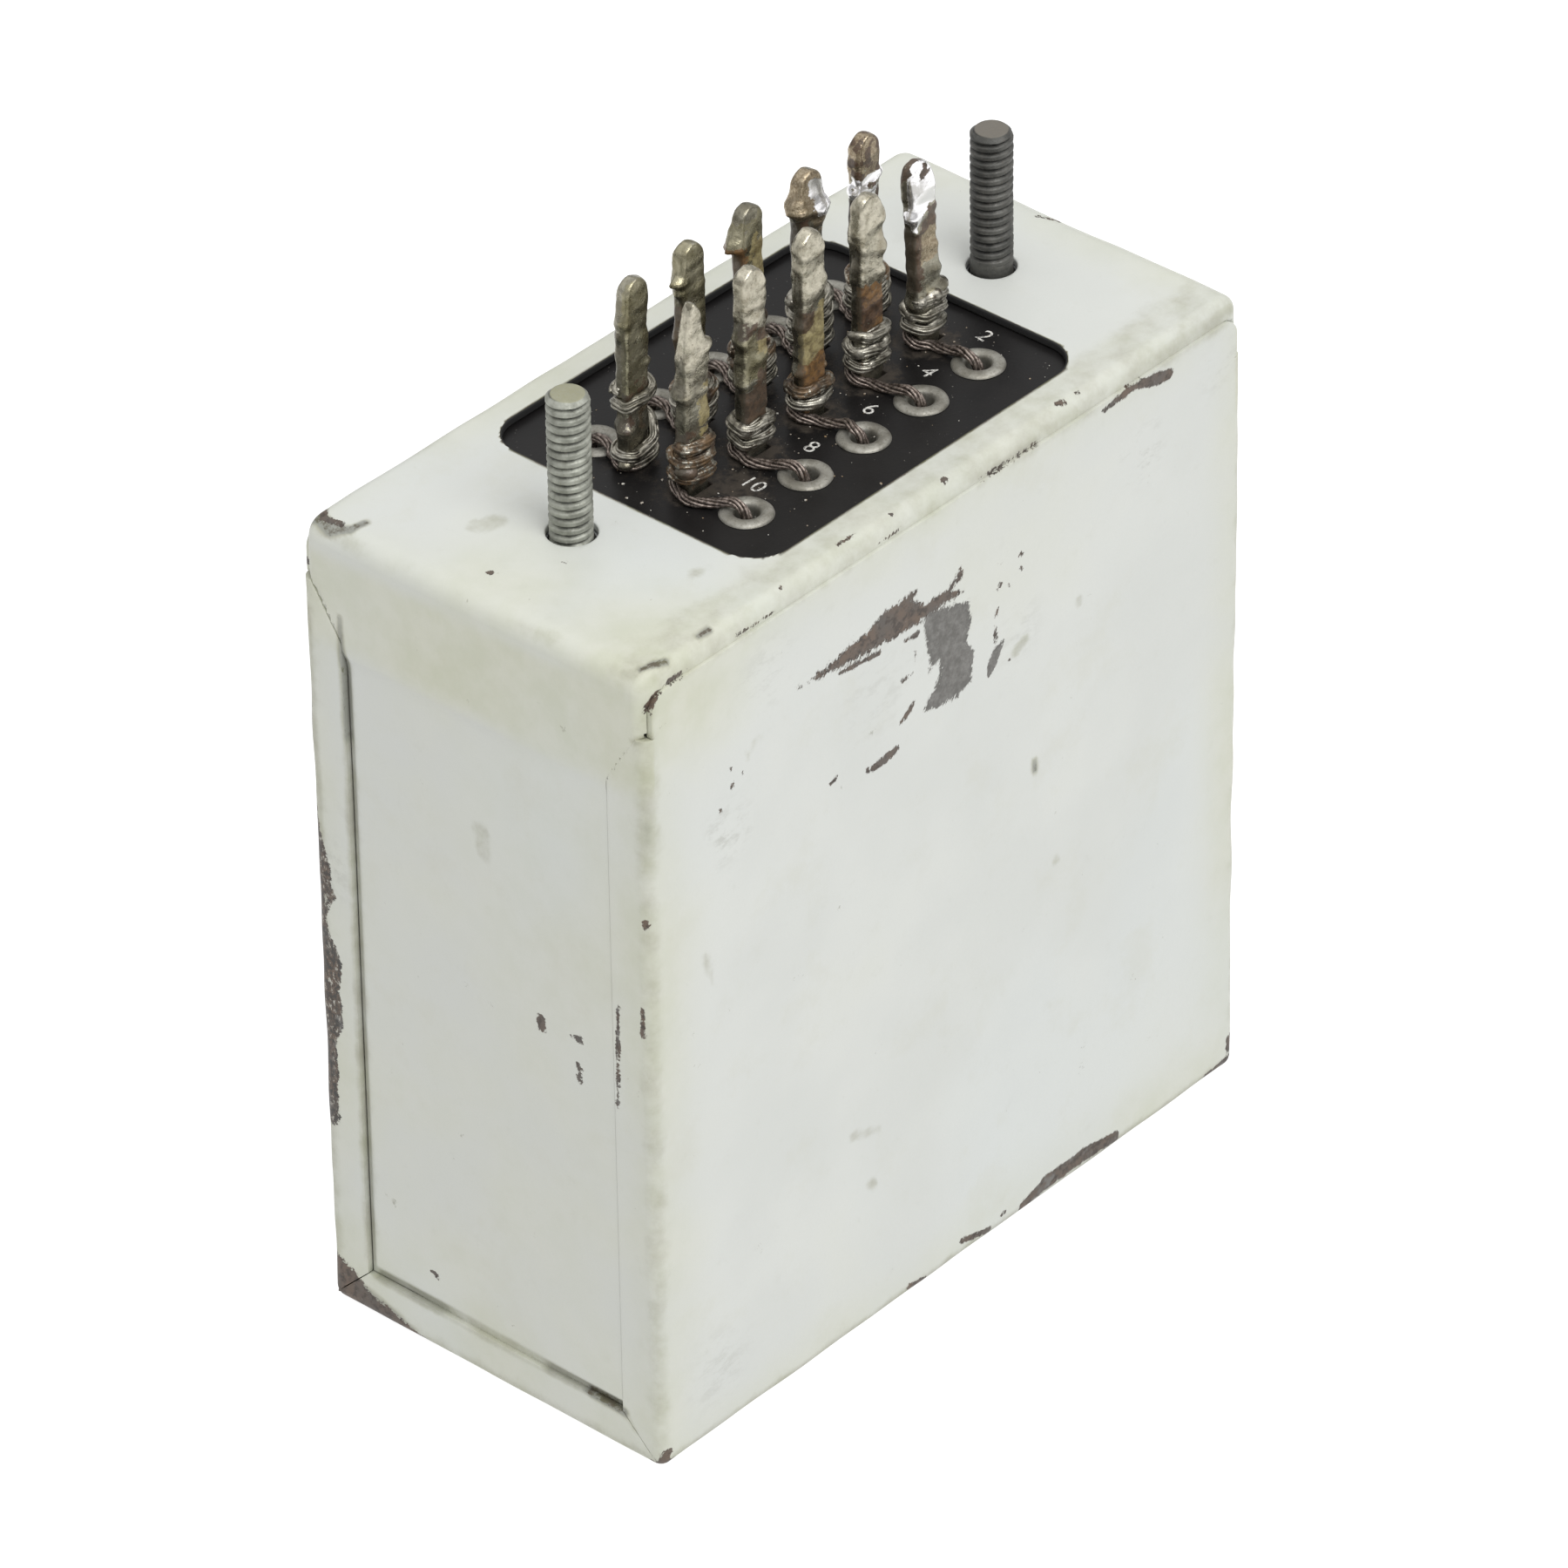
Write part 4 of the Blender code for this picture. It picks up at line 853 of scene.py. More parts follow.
def dent(mesh):
    """Gives the sheet metal the same slight unevenness wherever two sheets meet."""
    points = points_of(mesh)
    size = np.array([HALF_LENGTH, HALF_DEPTH, HEIGHT / 2])
    middle = np.array([0.0, 0.0, HEIGHT / 2])
    edge = np.sort(size - np.abs(points - middle), axis=1)[:, 1]
    at_edge = 1.0 - smoothstep(edge, 0.0, 6 * MM)
    broad = 0.10 * MM * wobble(points, 34 * MM, 1.0)
    fine = 0.10 * MM * wobble(points, 7 * MM, 5.0) * at_edge
    outward = (points - middle) / size
    outward[:, 2] = np.where(points[:, 2] < 1.0 * MM, 0.0, outward[:, 2])
    set_points(mesh, points + outward * (broad + fine - 0.10 * MM)[:, None])


# ---------------------------------------------------------------- the can
def remap(value, low, high, new_low, new_high):
    return new_low + (value - low) / (high - low) * (new_high - new_low)


def end_places(row, end, reach):
    """Points of one row past the plate's end: round the bend, then along the flange."""
    y, z, kind = row
    side = HALF_LENGTH - BEND
    if kind in ("front", "back") and z > FLANGE_TOP + SLIT / 2:
        return [Vector((end * (side + PLATE_OVERHANG), y, z))]
    half = HALF_DEPTH - BEND
    normal, inward = {
        "bottom": (Vector((0, 0, -1)), Vector((0, 0, 1))),
        "front": (Vector((0, -1, 0)), Vector((0, 1, 0))),
        "back": (Vector((0, 1, 0)), Vector((0, -1, 0))),
        "corner": (Vector((0, y - math.copysign(half, y), z - BEND)).normalized(), None),
    }[kind]
    places = []
    for step in range(1, BENDS + 1):
        angle = math.pi / 2 * step / BENDS
        turned = normal * (math.cos(angle) - 1.0) + Vector((end, 0, 0)) * math.sin(angle)
        places.append(Vector((end * side, y, z)) + turned * BEND)
    if kind == "corner":
        return places
    steps = round(reach / (0.42 * MM))
    base = places[-1].copy()
    for step in range(1, steps + 1):
        along = reach * step / steps
        gap = min(along, MITRE_GAP)
        place = base + inward * along
        if kind == "bottom":
            place.y = remap(y, -half, half, -half + along + gap, half - along - gap)
        else:
            high = FLANGE_TOP - FLANGE_SLANT * along / reach
            place.z = remap(z, BEND, FLANGE_TOP, BEND + along + gap, high)
        places.append(place)
    return places


def wrapper_mesh():
    """Front, bottom and back plates as one folded sheet, with its flanges on both ends."""
    bm = bmesh.new()
    side = HALF_LENGTH - BEND
    half = HALF_DEPTH - BEND
    xs = spread([-side, -27 * MM, 5 * MM, 40 * MM, side], [0.9 * MM, 0.36 * MM, 0.5 * MM, 0.9 * MM])
    front_z = spread([BEND, 6 * MM, 72 * MM, FLANGE_TOP], [0.45 * MM, 0.75 * MM, 0.36 * MM])
    upper_z = spread([FLANGE_TOP + SLIT, WRAPPER_TOP], [0.36 * MM])
    back_z = spread([BEND, FLANGE_TOP], [1.5 * MM])
    bottom_y = spread([-half, half], [1.5 * MM])
    corner = arc((-half, BEND), BEND, 180, 270, BENDS)[1:-1]
    rows = [(-HALF_DEPTH, z, "front") for z in reversed(front_z + upper_z)]
    rows += [(y, z, "corner") for y, z in corner]
    rows += [(y, 0.0, "bottom") for y in bottom_y]
    rows += [(-y, z, "corner") for y, z in reversed(corner)]
    rows += [(HALF_DEPTH, z, "back") for z in back_z + upper_z]
    verts = grid_mesh(bm, [[(x, y, z) for x in xs] for y, z, _ in rows])
    reach = FLANGE - BEND
    for end, column in ((-1, 0), (1, -1)):
        chains = [[row_verts[column]] for row_verts in verts]
        for chain, row in zip(chains, rows):
            chain.extend(bm.verts.new(place) for place in end_places(row, end, reach))
        for i in range(len(rows) - 1):
            upper, lower = chains[i], chains[i + 1]
            if (len(upper) == 2) != (len(lower) == 2):
                continue
            joined = BENDS + 1 if rows[i][2] != rows[i + 1][2] else len(upper)
            for j in range(min(joined, len(upper), len(lower)) - 1):
                bm.faces.new((upper[j], lower[j], lower[j + 1], upper[j + 1]))
    bmesh.ops.remove_doubles(bm, verts=bm.verts, dist=0.004 * MM)
    bmesh.ops.recalc_face_normals(bm, faces=bm.faces)
    return to_mesh("can_wrapper_sheet", bm)


def round_plate_corners(mesh):
    """Rounds the upper corners of the front and back plates."""
    radius = PLATE_CORNER
    points = points_of(mesh)
    edge = HALF_LENGTH - BEND + PLATE_OVERHANG
    over_x = np.clip((np.abs(points[:, 0]) - (edge - radius)) / radius, 0.0, None)
    over_z = np.clip((points[:, 2] - (WRAPPER_TOP - radius)) / radius, 0.0, None)
    length = np.hypot(over_x, over_z)
    shrink = np.where(length > 0, np.maximum(over_x, over_z) / np.maximum(length, 1e-9), 1.0)
    corner = (over_x > 0) & (over_z > 0)
    new_x = np.sign(points[:, 0]) * (edge - radius + radius * over_x * shrink)
    new_z = WRAPPER_TOP - radius + radius * over_z * shrink
    points[:, 0] = np.where(corner, new_x, points[:, 0])
    points[:, 2] = np.where(corner, new_z, points[:, 2])
    set_points(mesh, points)


def thicken(piece, thickness, even=False, rim=0.0):
    """Gives a skin its thickness, inwards, and rounds its rim."""
    sheet = piece.modifiers.new("sheet", "SOLIDIFY")
    sheet.thickness = thickness
    sheet.offset = -1.0
    sheet.use_even_offset = even
    if rim:
        edges = piece.modifiers.new("painted_edges", "BEVEL")
        edges.width = rim
        edges.segments = 2
        edges.limit_method = "ANGLE"
        edges.angle_limit = math.radians(60)
    apply_modifiers(piece)


def make_wrapper(paint):
    mesh = wrapper_mesh()
    round_plate_corners(mesh)
    wrapper = new_piece("painted_wrapper", mesh, paint)
    thicken(wrapper, SHEET, even=True, rim=0.14 * MM)
    dent(wrapper.data)
    add_wear(wrapper.data)
    smooth(wrapper.data, 50)
    settle(wrapper, "can_wrapper")


def rounded_stops(half, radius, flat):
    """Stops along one side of a rounded box: close together over its rounded ends."""
    turns = [radius * math.tan(math.radians(45) * step / 5) for step in range(1, 6)]
    inner = half - radius
    return [-inner - turn for turn in reversed(turns)] + flat + [inner + turn for turn in turns]


def round_box(points, half, radii):
    """Moves points of a box's surface onto the same box with rounded edges; the underside stays."""
    inner = np.array(half) - np.array(radii)
    core = np.clip(points, -inner, inner)
    core[:, 2] = np.minimum(points[:, 2], inner[2])
    out = (points - core) / np.array(radii)
    length = np.maximum(np.linalg.norm(out, axis=1), 1e-9)
    return core + np.array(radii) * out / length[:, None]


def tuck_skirt(points):
    """Steps the cover's long sides in behind the wrapper's plates."""
    edge = HALF_LENGTH - BEND + PLATE_OVERHANG
    corner = np.stack([
        np.abs(points[:, 0]) - (edge - PLATE_CORNER), points[:, 2] - (WRAPPER_TOP - PLATE_CORNER),
    ], axis=1)
    outside = np.linalg.norm(np.maximum(corner, 0.0), axis=1)
    beyond = outside + np.minimum(corner.max(axis=1), 0.0) - PLATE_CORNER
    on_side = np.abs(points[:, 1]) > HALF_DEPTH - COVER_INSET - 1.0 * MM
    tuck = 0.80 * MM * (1.0 - smoothstep(beyond, -0.30 * MM, 0.02 * MM)) * on_side
    points[:, 1] -= np.sign(points[:, 1]) * tuck
    return points


def recess_panels(points):
    """Sets the end panels back behind the wrapper's flanges, with a groove along most of each joint."""
    y = points[:, 1] / MM
    z = points[:, 2] / MM
    across = np.abs(y)
    inner_edge = (HALF_DEPTH - FLANGE) / MM
    slant = (FLANGE_TOP - FLANGE_SLANT) / MM + (across - inner_edge) * FLANGE_SLANT / (FLANGE - BEND)
    overlap = 1.0 * (y < 0)
    covered = smoothstep(across, inner_edge - 0.08, inner_edge - 0.02)
    covered *= smoothstep(slant - z - overlap, -0.2, 0.1)
    below_cover = 1.0 - smoothstep(z, 88.0, 89.6)
    far = smoothstep(y, -16.0, 0.0)
    pan = below_cover * (PANEL_STEP[0] + (PANEL_STEP[1] - PANEL_STEP[0]) * far)
    beside = np.clip((inner_edge - across) / 1.2, 0.0, 1.0)
    side_groove = (1.0 - smoothstep(beside, 0.2, 1.0)) * (y > 0) * (1.0 - smoothstep(z, 86.5, 90.5))
    over = np.clip((z - FLANGE / MM) / 1.6, 0.0, 1.0)
    uneven = 0.35 + 0.65 * np.clip(np.abs(y + 1.0) / 14.0, 0.0, 1.0)
    foot_groove = (1.0 - smoothstep(over, 0.2, 1.0)) * uneven * (z < 20.0)
    groove = np.maximum(side_groove, foot_groove)
    depth = np.maximum(pan + (0.85 - pan) * groove, covered * PANEL_RECESS / MM) * MM
    behind_foot = z < FLANGE / MM - 0.05
    depth = np.where(behind_foot, PANEL_RECESS, depth)
    on_end = np.abs(points[:, 0]) > HALF_LENGTH - COVER_RADII.x
    on_end &= z < (HEIGHT - COVER_RADII.z) / MM
    points[:, 0] -= np.sign(points[:, 0]) * np.where(on_end, depth, 0.0)
    limit = HALF_DEPTH - SHEET - 0.3 * MM
    below = on_end & (z < FLANGE_TOP / MM)
    points[:, 1] = np.where(below, np.clip(points[:, 1], -limit, limit), points[:, 1])
    return points


def cover_mesh():
    """Top plate, end panels and tucked-in sides as one sheet."""
    half = Vector((HALF_LENGTH, HALF_DEPTH - COVER_INSET, HEIGHT))
    radii = COVER_RADII
    flat_x = spread([-(half.x - radii.x), half.x - radii.x], [0.60 * MM])
    inner_edge = HALF_DEPTH - FLANGE
    step = [-inner_edge + 0.08 * MM, -inner_edge + 0.02 * MM]
    stops = [-(half.y - radii.y), step[1] - 0.3 * MM, *reversed(step), inner_edge - 1.6 * MM]
    stops += [-step[0], -step[1], inner_edge + 0.3 * MM, half.y - radii.y]
    gaps_y = [0.55 * MM, 0.3 * MM, 0.1 * MM, 0.52 * MM, 0.2 * MM, 0.1 * MM, 0.3 * MM, 0.55 * MM]
    flat_y = spread(sorted(stops), gaps_y)
    xs = rounded_stops(half.x, radii.x, flat_x)
    ys = rounded_stops(half.y, radii.y, flat_y)
    joints = [
        PANEL_BOTTOM, FLANGE - 0.08 * MM, FLANGE - 0.02 * MM, FLANGE + 1.7 * MM, 86.0 * MM, 91.0 * MM,
        SKIRT_BOTTOM, WRAPPER_TOP - 0.4 * MM, WRAPPER_TOP + 0.1 * MM, HEIGHT - radii.z,
    ]
    gaps_z = [step_size * MM for step_size in (0.7, 0.06, 0.2, 0.6, 0.35, 0.5, 0.6, 0.1, 0.2)]
    low_z = spread(joints, gaps_z)
    zs = low_z + [HEIGHT - radii.z + radii.z * math.tan(math.radians(45) * i / 5) for i in range(1, 6)]
    skirt_z = [z for z in zs if z > SKIRT_BOTTOM - 0.01 * MM]
    bm = bmesh.new()
    grid_mesh(bm, [[(x, y, HEIGHT) for x in xs] for y in ys])
    for end in (-1, 1):
        grid_mesh(bm, [[(end * half.x, y, z) for y in ys] for z in zs])
        grid_mesh(bm, [[(x, end * half.y, z) for x in xs] for z in skirt_z])
    bmesh.ops.remove_doubles(bm, verts=bm.verts, dist=0.004 * MM)
    bmesh.ops.recalc_face_normals(bm, faces=bm.faces)
    mesh = to_mesh("top_cover_sheet", bm)
    points = round_box(points_of(mesh), half, radii)
    set_points(mesh, recess_panels(tuck_skirt(points)))
    return mesh


def flared_cutter(bm, outline, low, top, flare):
    """An upright cutter whose walls open outwards just under the top, to round the cut edge."""
    middle = sum((Vector(point) for point in outline), Vector((0, 0))) / len(outline)
    rows = []
    above = 1.0 * MM
    heights = (low, top - flare, top - flare * 0.35, top, top + above)
    for height, grow in zip(heights, (0.0, 0.0, flare * 0.3, flare, flare + above)):
        ways = [(Vector(point) - middle).normalized() * grow for point in outline]
        rows.append([(*(Vector(point) + way), height) for point, way in zip(outline, ways)])
    add_tube(bm, rows)


def cut(piece, bm):
    """Cuts a closed mesh out of a piece."""
    cutter = bpy.data.objects.new("cutter", to_mesh("cutter", bm))
    bpy.context.scene.collection.objects.link(cutter)
    modifier = piece.modifiers.new("openings", "BOOLEAN")
    modifier.operation = "DIFFERENCE"
    modifier.solver = "EXACT"
    modifier.object = cutter
    apply_modifiers(piece)
    bpy.data.objects.remove(cutter)


def make_cover(paint):
    cover = new_piece("painted_cover", cover_mesh(), paint)
    thicken(cover, SHEET)
    bm = bmesh.new()
    openings = [circle(stud, STUD_HOLE, 40) for stud in STUDS.values()]
    for outline in (rounded_rectangle(PANEL, WINDOW, WINDOW_CORNER, 10), *openings):
        flared_cutter(bm, outline, HEIGHT - 2 * MM, HEIGHT, 0.16 * MM)
    cut(cover, bm)
    dent(cover.data)
    add_wear(cover.data)
    smooth(cover.data, 50)
    settle(cover, "top_cover")


# ---------------------------------------------------------------- terminal board
def make_board():
    """The board with its eyelet holes and blade slots, hazy with flux round the blades."""
    bm = bmesh.new()
    xs = spread([BOARD_LOW.x, BOARD_HIGH.x], [0.45 * MM])
    ys = spread([BOARD_LOW.y, BOARD_HIGH.y], [0.45 * MM])
    grid_mesh(bm, [[(x, y, BOARD_TOP) for x in xs] for y in ys])
    board = new_piece("phenolic_board", to_mesh("phenolic_board", bm), board_material())
    thicken(board, BOARD_TOP - BOARD_LOW.z)
    openings = bmesh.new()
    blades = {row: [center(f"terminal_{row}_{place}") for place in PLACES] for row in ROWS}
    for row in ROWS:
        outlines = [circle(center(f"eyelet_{row}_{place}"), 2.0 * MM, 32) for place in PLACES]
        outlines += [rectangle(blade, (4.0 * MM, 2.2 * MM)) for blade in blades[row]]
        for outline in outlines:
            flared_cutter(openings, outline, BOARD_LOW.z - 1 * MM, BOARD_TOP, 0.1 * MM)
    cut(board, openings)
    points = points_of(board.data)
    haze = np.zeros(len(points))
    for row, strength in zip(ROWS, (0.95, 0.6)):
        for blade in blades[row]:
            near = np.linalg.norm((points - np.array(blade))[:, :2], axis=1) / MM
            haze = np.maximum(haze, strength * (1.0 - smoothstep(near, 1.5, 6.5)))
    near_first = np.linalg.norm(points[:, :2] - np.array((-14.0 * MM, -6.5 * MM)), axis=1) / MM
    haze = np.maximum(haze, 0.9 - smoothstep(near_first, 1.0, 7.0))
    set_attribute(board.data, "haze", haze)
    smooth(board.data, 40)
    settle(board, "terminal_board")


def make_digits(ink):
    """Hand-cut place numbers beside the eyelets, read from the left end of the can."""
    for row, first, shift in (("front", 10, 3.2 * MM), ("back", 9, -3.0 * MM)):
        for place in PLACES:
            eyelet = center(f"eyelet_{row}_{place}")
            number = first - 2 * (place - 1)
            text = bpy.data.curves.new(f"place_number_{number}", "FONT")
            text.body = str(number)
            text.size = 3.0 * MM
            text.extrude = 0.015 * MM
            text.offset = -0.015 * MM
            text.align_x = "CENTER"
            text.align_y = "CENTER"
            holder = bpy.data.objects.new(f"place_number_{number}", text)
            holder.rotation_euler.z = math.radians(-90 + random.uniform(-7, 7))
            x = eyelet.x + (4.85 + random.uniform(-0.3, 0.3)) * MM
            holder.location = (x, eyelet.y + shift, BOARD_TOP + 0.02 * MM)
            bpy.context.scene.collection.objects.link(holder)
            mesh = evaluated_mesh(holder)
            mesh.transform(holder.matrix_world)
            bpy.data.objects.remove(holder)
            piece = new_piece(f"place_number_{number}", mesh, ink)
            settle(piece)


def make_crumbs(material):
    """Specks of flux and paint left on the board."""
    bm = bmesh.new()
    half = Vector((WINDOW[0] / 2 - 1.5 * MM, WINDOW[1] / 2 - 1.5 * MM))
    for _ in range(150):
        x = PANEL.x + random.uniform(-1, 1) * half.x
        y = PANEL.y + random.gauss(-0.25, 0.38) * half.y
        if abs(y - PANEL.y) > half.y:
            continue
        size = random.choice((0.05, 0.06, 0.08, 0.08, 0.11, 0.16)) * MM
        turn = Matrix.Rotation(random.uniform(0, math.tau), 4, "Z")
        shape = Matrix.Diagonal((random.uniform(0.7, 1.6), 1.0, random.uniform(0.4, 0.8), 1.0))
        place = Matrix.Translation((x, y, BOARD_TOP + size * 0.3))
        bmesh.ops.create_icosphere(bm, subdivisions=1, radius=size, matrix=place @ turn @ shape)
    crumbs = new_piece("flux_crumbs", to_mesh("flux_crumbs", bm), material)
    settle(crumbs)


# ---------------------------------------------------------------- mounting studs
THREAD_RADIUS = 2.4 * MM
THREAD_DEPTH = 0.40 * MM
PITCH = 1.058 * MM
STUD_SEAT = BOARD_TOP - 2.3 * MM
HEAD_RADIUS = 4.2 * MM
HEAD_RIM = 0.3 * MM
AROUND_STUD = 48


def thread_point(side, stud_top, z, step):
    """Radius of a worn, pitted thread at one point, and how near that is to the thread's crest."""
    turned = step / AROUND_STUD
    phase = ((z - stud_top) / PITCH - turned) % 1.0
    crest = min(1.0, max(0.0, (abs(phase * 2.0 - 1.0) - 0.08) / 0.50))
    if side == "right" and z < HEIGHT + 1.6 * MM:
        crest = max(crest, 1.0 - max(0.0, z - HEIGHT - 0.9 * MM) / (0.7 * MM))
    x, y = math.cos(math.tau * turned), math.sin(math.tau * turned)
    worn = noise.noise(Vector((x * 2, y * 2, z / MM)) * 0.9)
    pitted = noise.noise(Vector((x * 7, y * 7, z / MM * 2.5)))
    radius = THREAD_RADIUS - THREAD_DEPTH * (1.0 - crest) * (1.0 + 0.35 * worn)
    radius += (0.05 * worn + 0.03 * pitted) * MM
    return min(radius, THREAD_RADIUS - 0.62 * MM + (stud_top - z) * 1.1), crest


def make_stud(side, material):
    """A zinc-plated stud with a real helical thread, and its head under the board."""
    node = f"stud_{side}"
    low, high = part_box(node)
    axis = center(node)
    rows = []
    crest = []
    for z in spread([STUD_SEAT, high.z - 0.05 * MM], [0.088 * MM]):
        row = []
        for step in range(AROUND_STUD):
            angle = math.tau * step / AROUND_STUD
            radius, height = thread_point(side, high.z, z, step)
            row.append((axis.x + radius * math.cos(angle), axis.y + radius * math.sin(angle), z))
            crest.append(height)
        rows.append(row)
    for radius, rise in ((1.72, -0.04), (1.2, -0.01), (0.6, -0.01), (0.2, -0.01)):
        rows.append([(x, y, high.z + rise * MM) for x, y in circle(axis, radius * MM, AROUND_STUD)])
        crest.extend([1.0] * AROUND_STUD)
    shank = new_piece(f"threaded_{node}", tube_mesh(node, rows), material)
    set_attribute(shank.data, "crest", crest)
    set_attribute(shank.data, "top", points_of(shank.data)[:, 2] > high.z - 0.12 * MM)
    face = HEAD_RADIUS - HEAD_RIM
    profile = (
        (face, low.z), (HEAD_RADIUS, low.z + HEAD_RIM),
        (HEAD_RADIUS, STUD_SEAT - HEAD_RIM), (face, STUD_SEAT),
    )
    rows = [[(x, y, z) for x, y in circle(axis, radius, AROUND_STUD)] for radius, z in profile]
    head = new_piece(f"{node}_head", tube_mesh(f"{node}_head", rows), material)
    smooth(shank.data, 55)
    smooth(head.data, 55)
    settle(head)
    settle(shank, node)


# ---------------------------------------------------------------- eyelets
def make_eyelet(row, place, material):
    node = f"eyelet_{row}_{place}"
    axis = center(node)
    profile = [
        (1.40, -3.0), (1.40, -0.30), (1.44, 0.02), (1.54, 0.26), (1.74, 0.42), (2.10, 0.50), (2.50, 0.47),
        (2.82, 0.36), (2.99, 0.20), (3.05, 0.06), (2.98, -0.02), (1.75, -0.02), (1.75, -3.4), (2.50, -3.5),
        (2.50, -3.8), (1.40, -3.7),
    ]
    around = 64
    rows = []
    for radius, z in [(r * MM, BOARD_TOP + h * MM) for r, h in profile]:
        row_points = []
        for step in range(around):
            angle = math.tau * step / around
            spot = Vector((axis.x + radius * math.cos(angle), axis.y + radius * math.sin(angle), z))
            uneven = noise.noise(spot / (1.5 * MM)) * 0.05 * MM
            out = radius + (uneven if radius > 2.2 * MM else uneven * 0.4)
            lift = noise.noise(spot / (2.4 * MM) + Vector((place, 3, 1))) * 0.06 * MM
            lift = lift if radius > 1.9 * MM and z > BOARD_TOP + 0.1 * MM else 0.0
            row_points.append((axis.x + out * math.cos(angle), axis.y + out * math.sin(angle), z + lift))
        rows.append(row_points)
    bm = bmesh.new()
    grid_mesh(bm, rows + [rows[0]], closed=True)
    bmesh.ops.remove_doubles(bm, verts=bm.verts, dist=0.002 * MM)
    bmesh.ops.recalc_face_normals(bm, faces=bm.faces)
    ring = new_piece(f"rolled_{node}", to_mesh(node, bm), material)
    smooth(ring.data, 60)
    settle(ring, node)


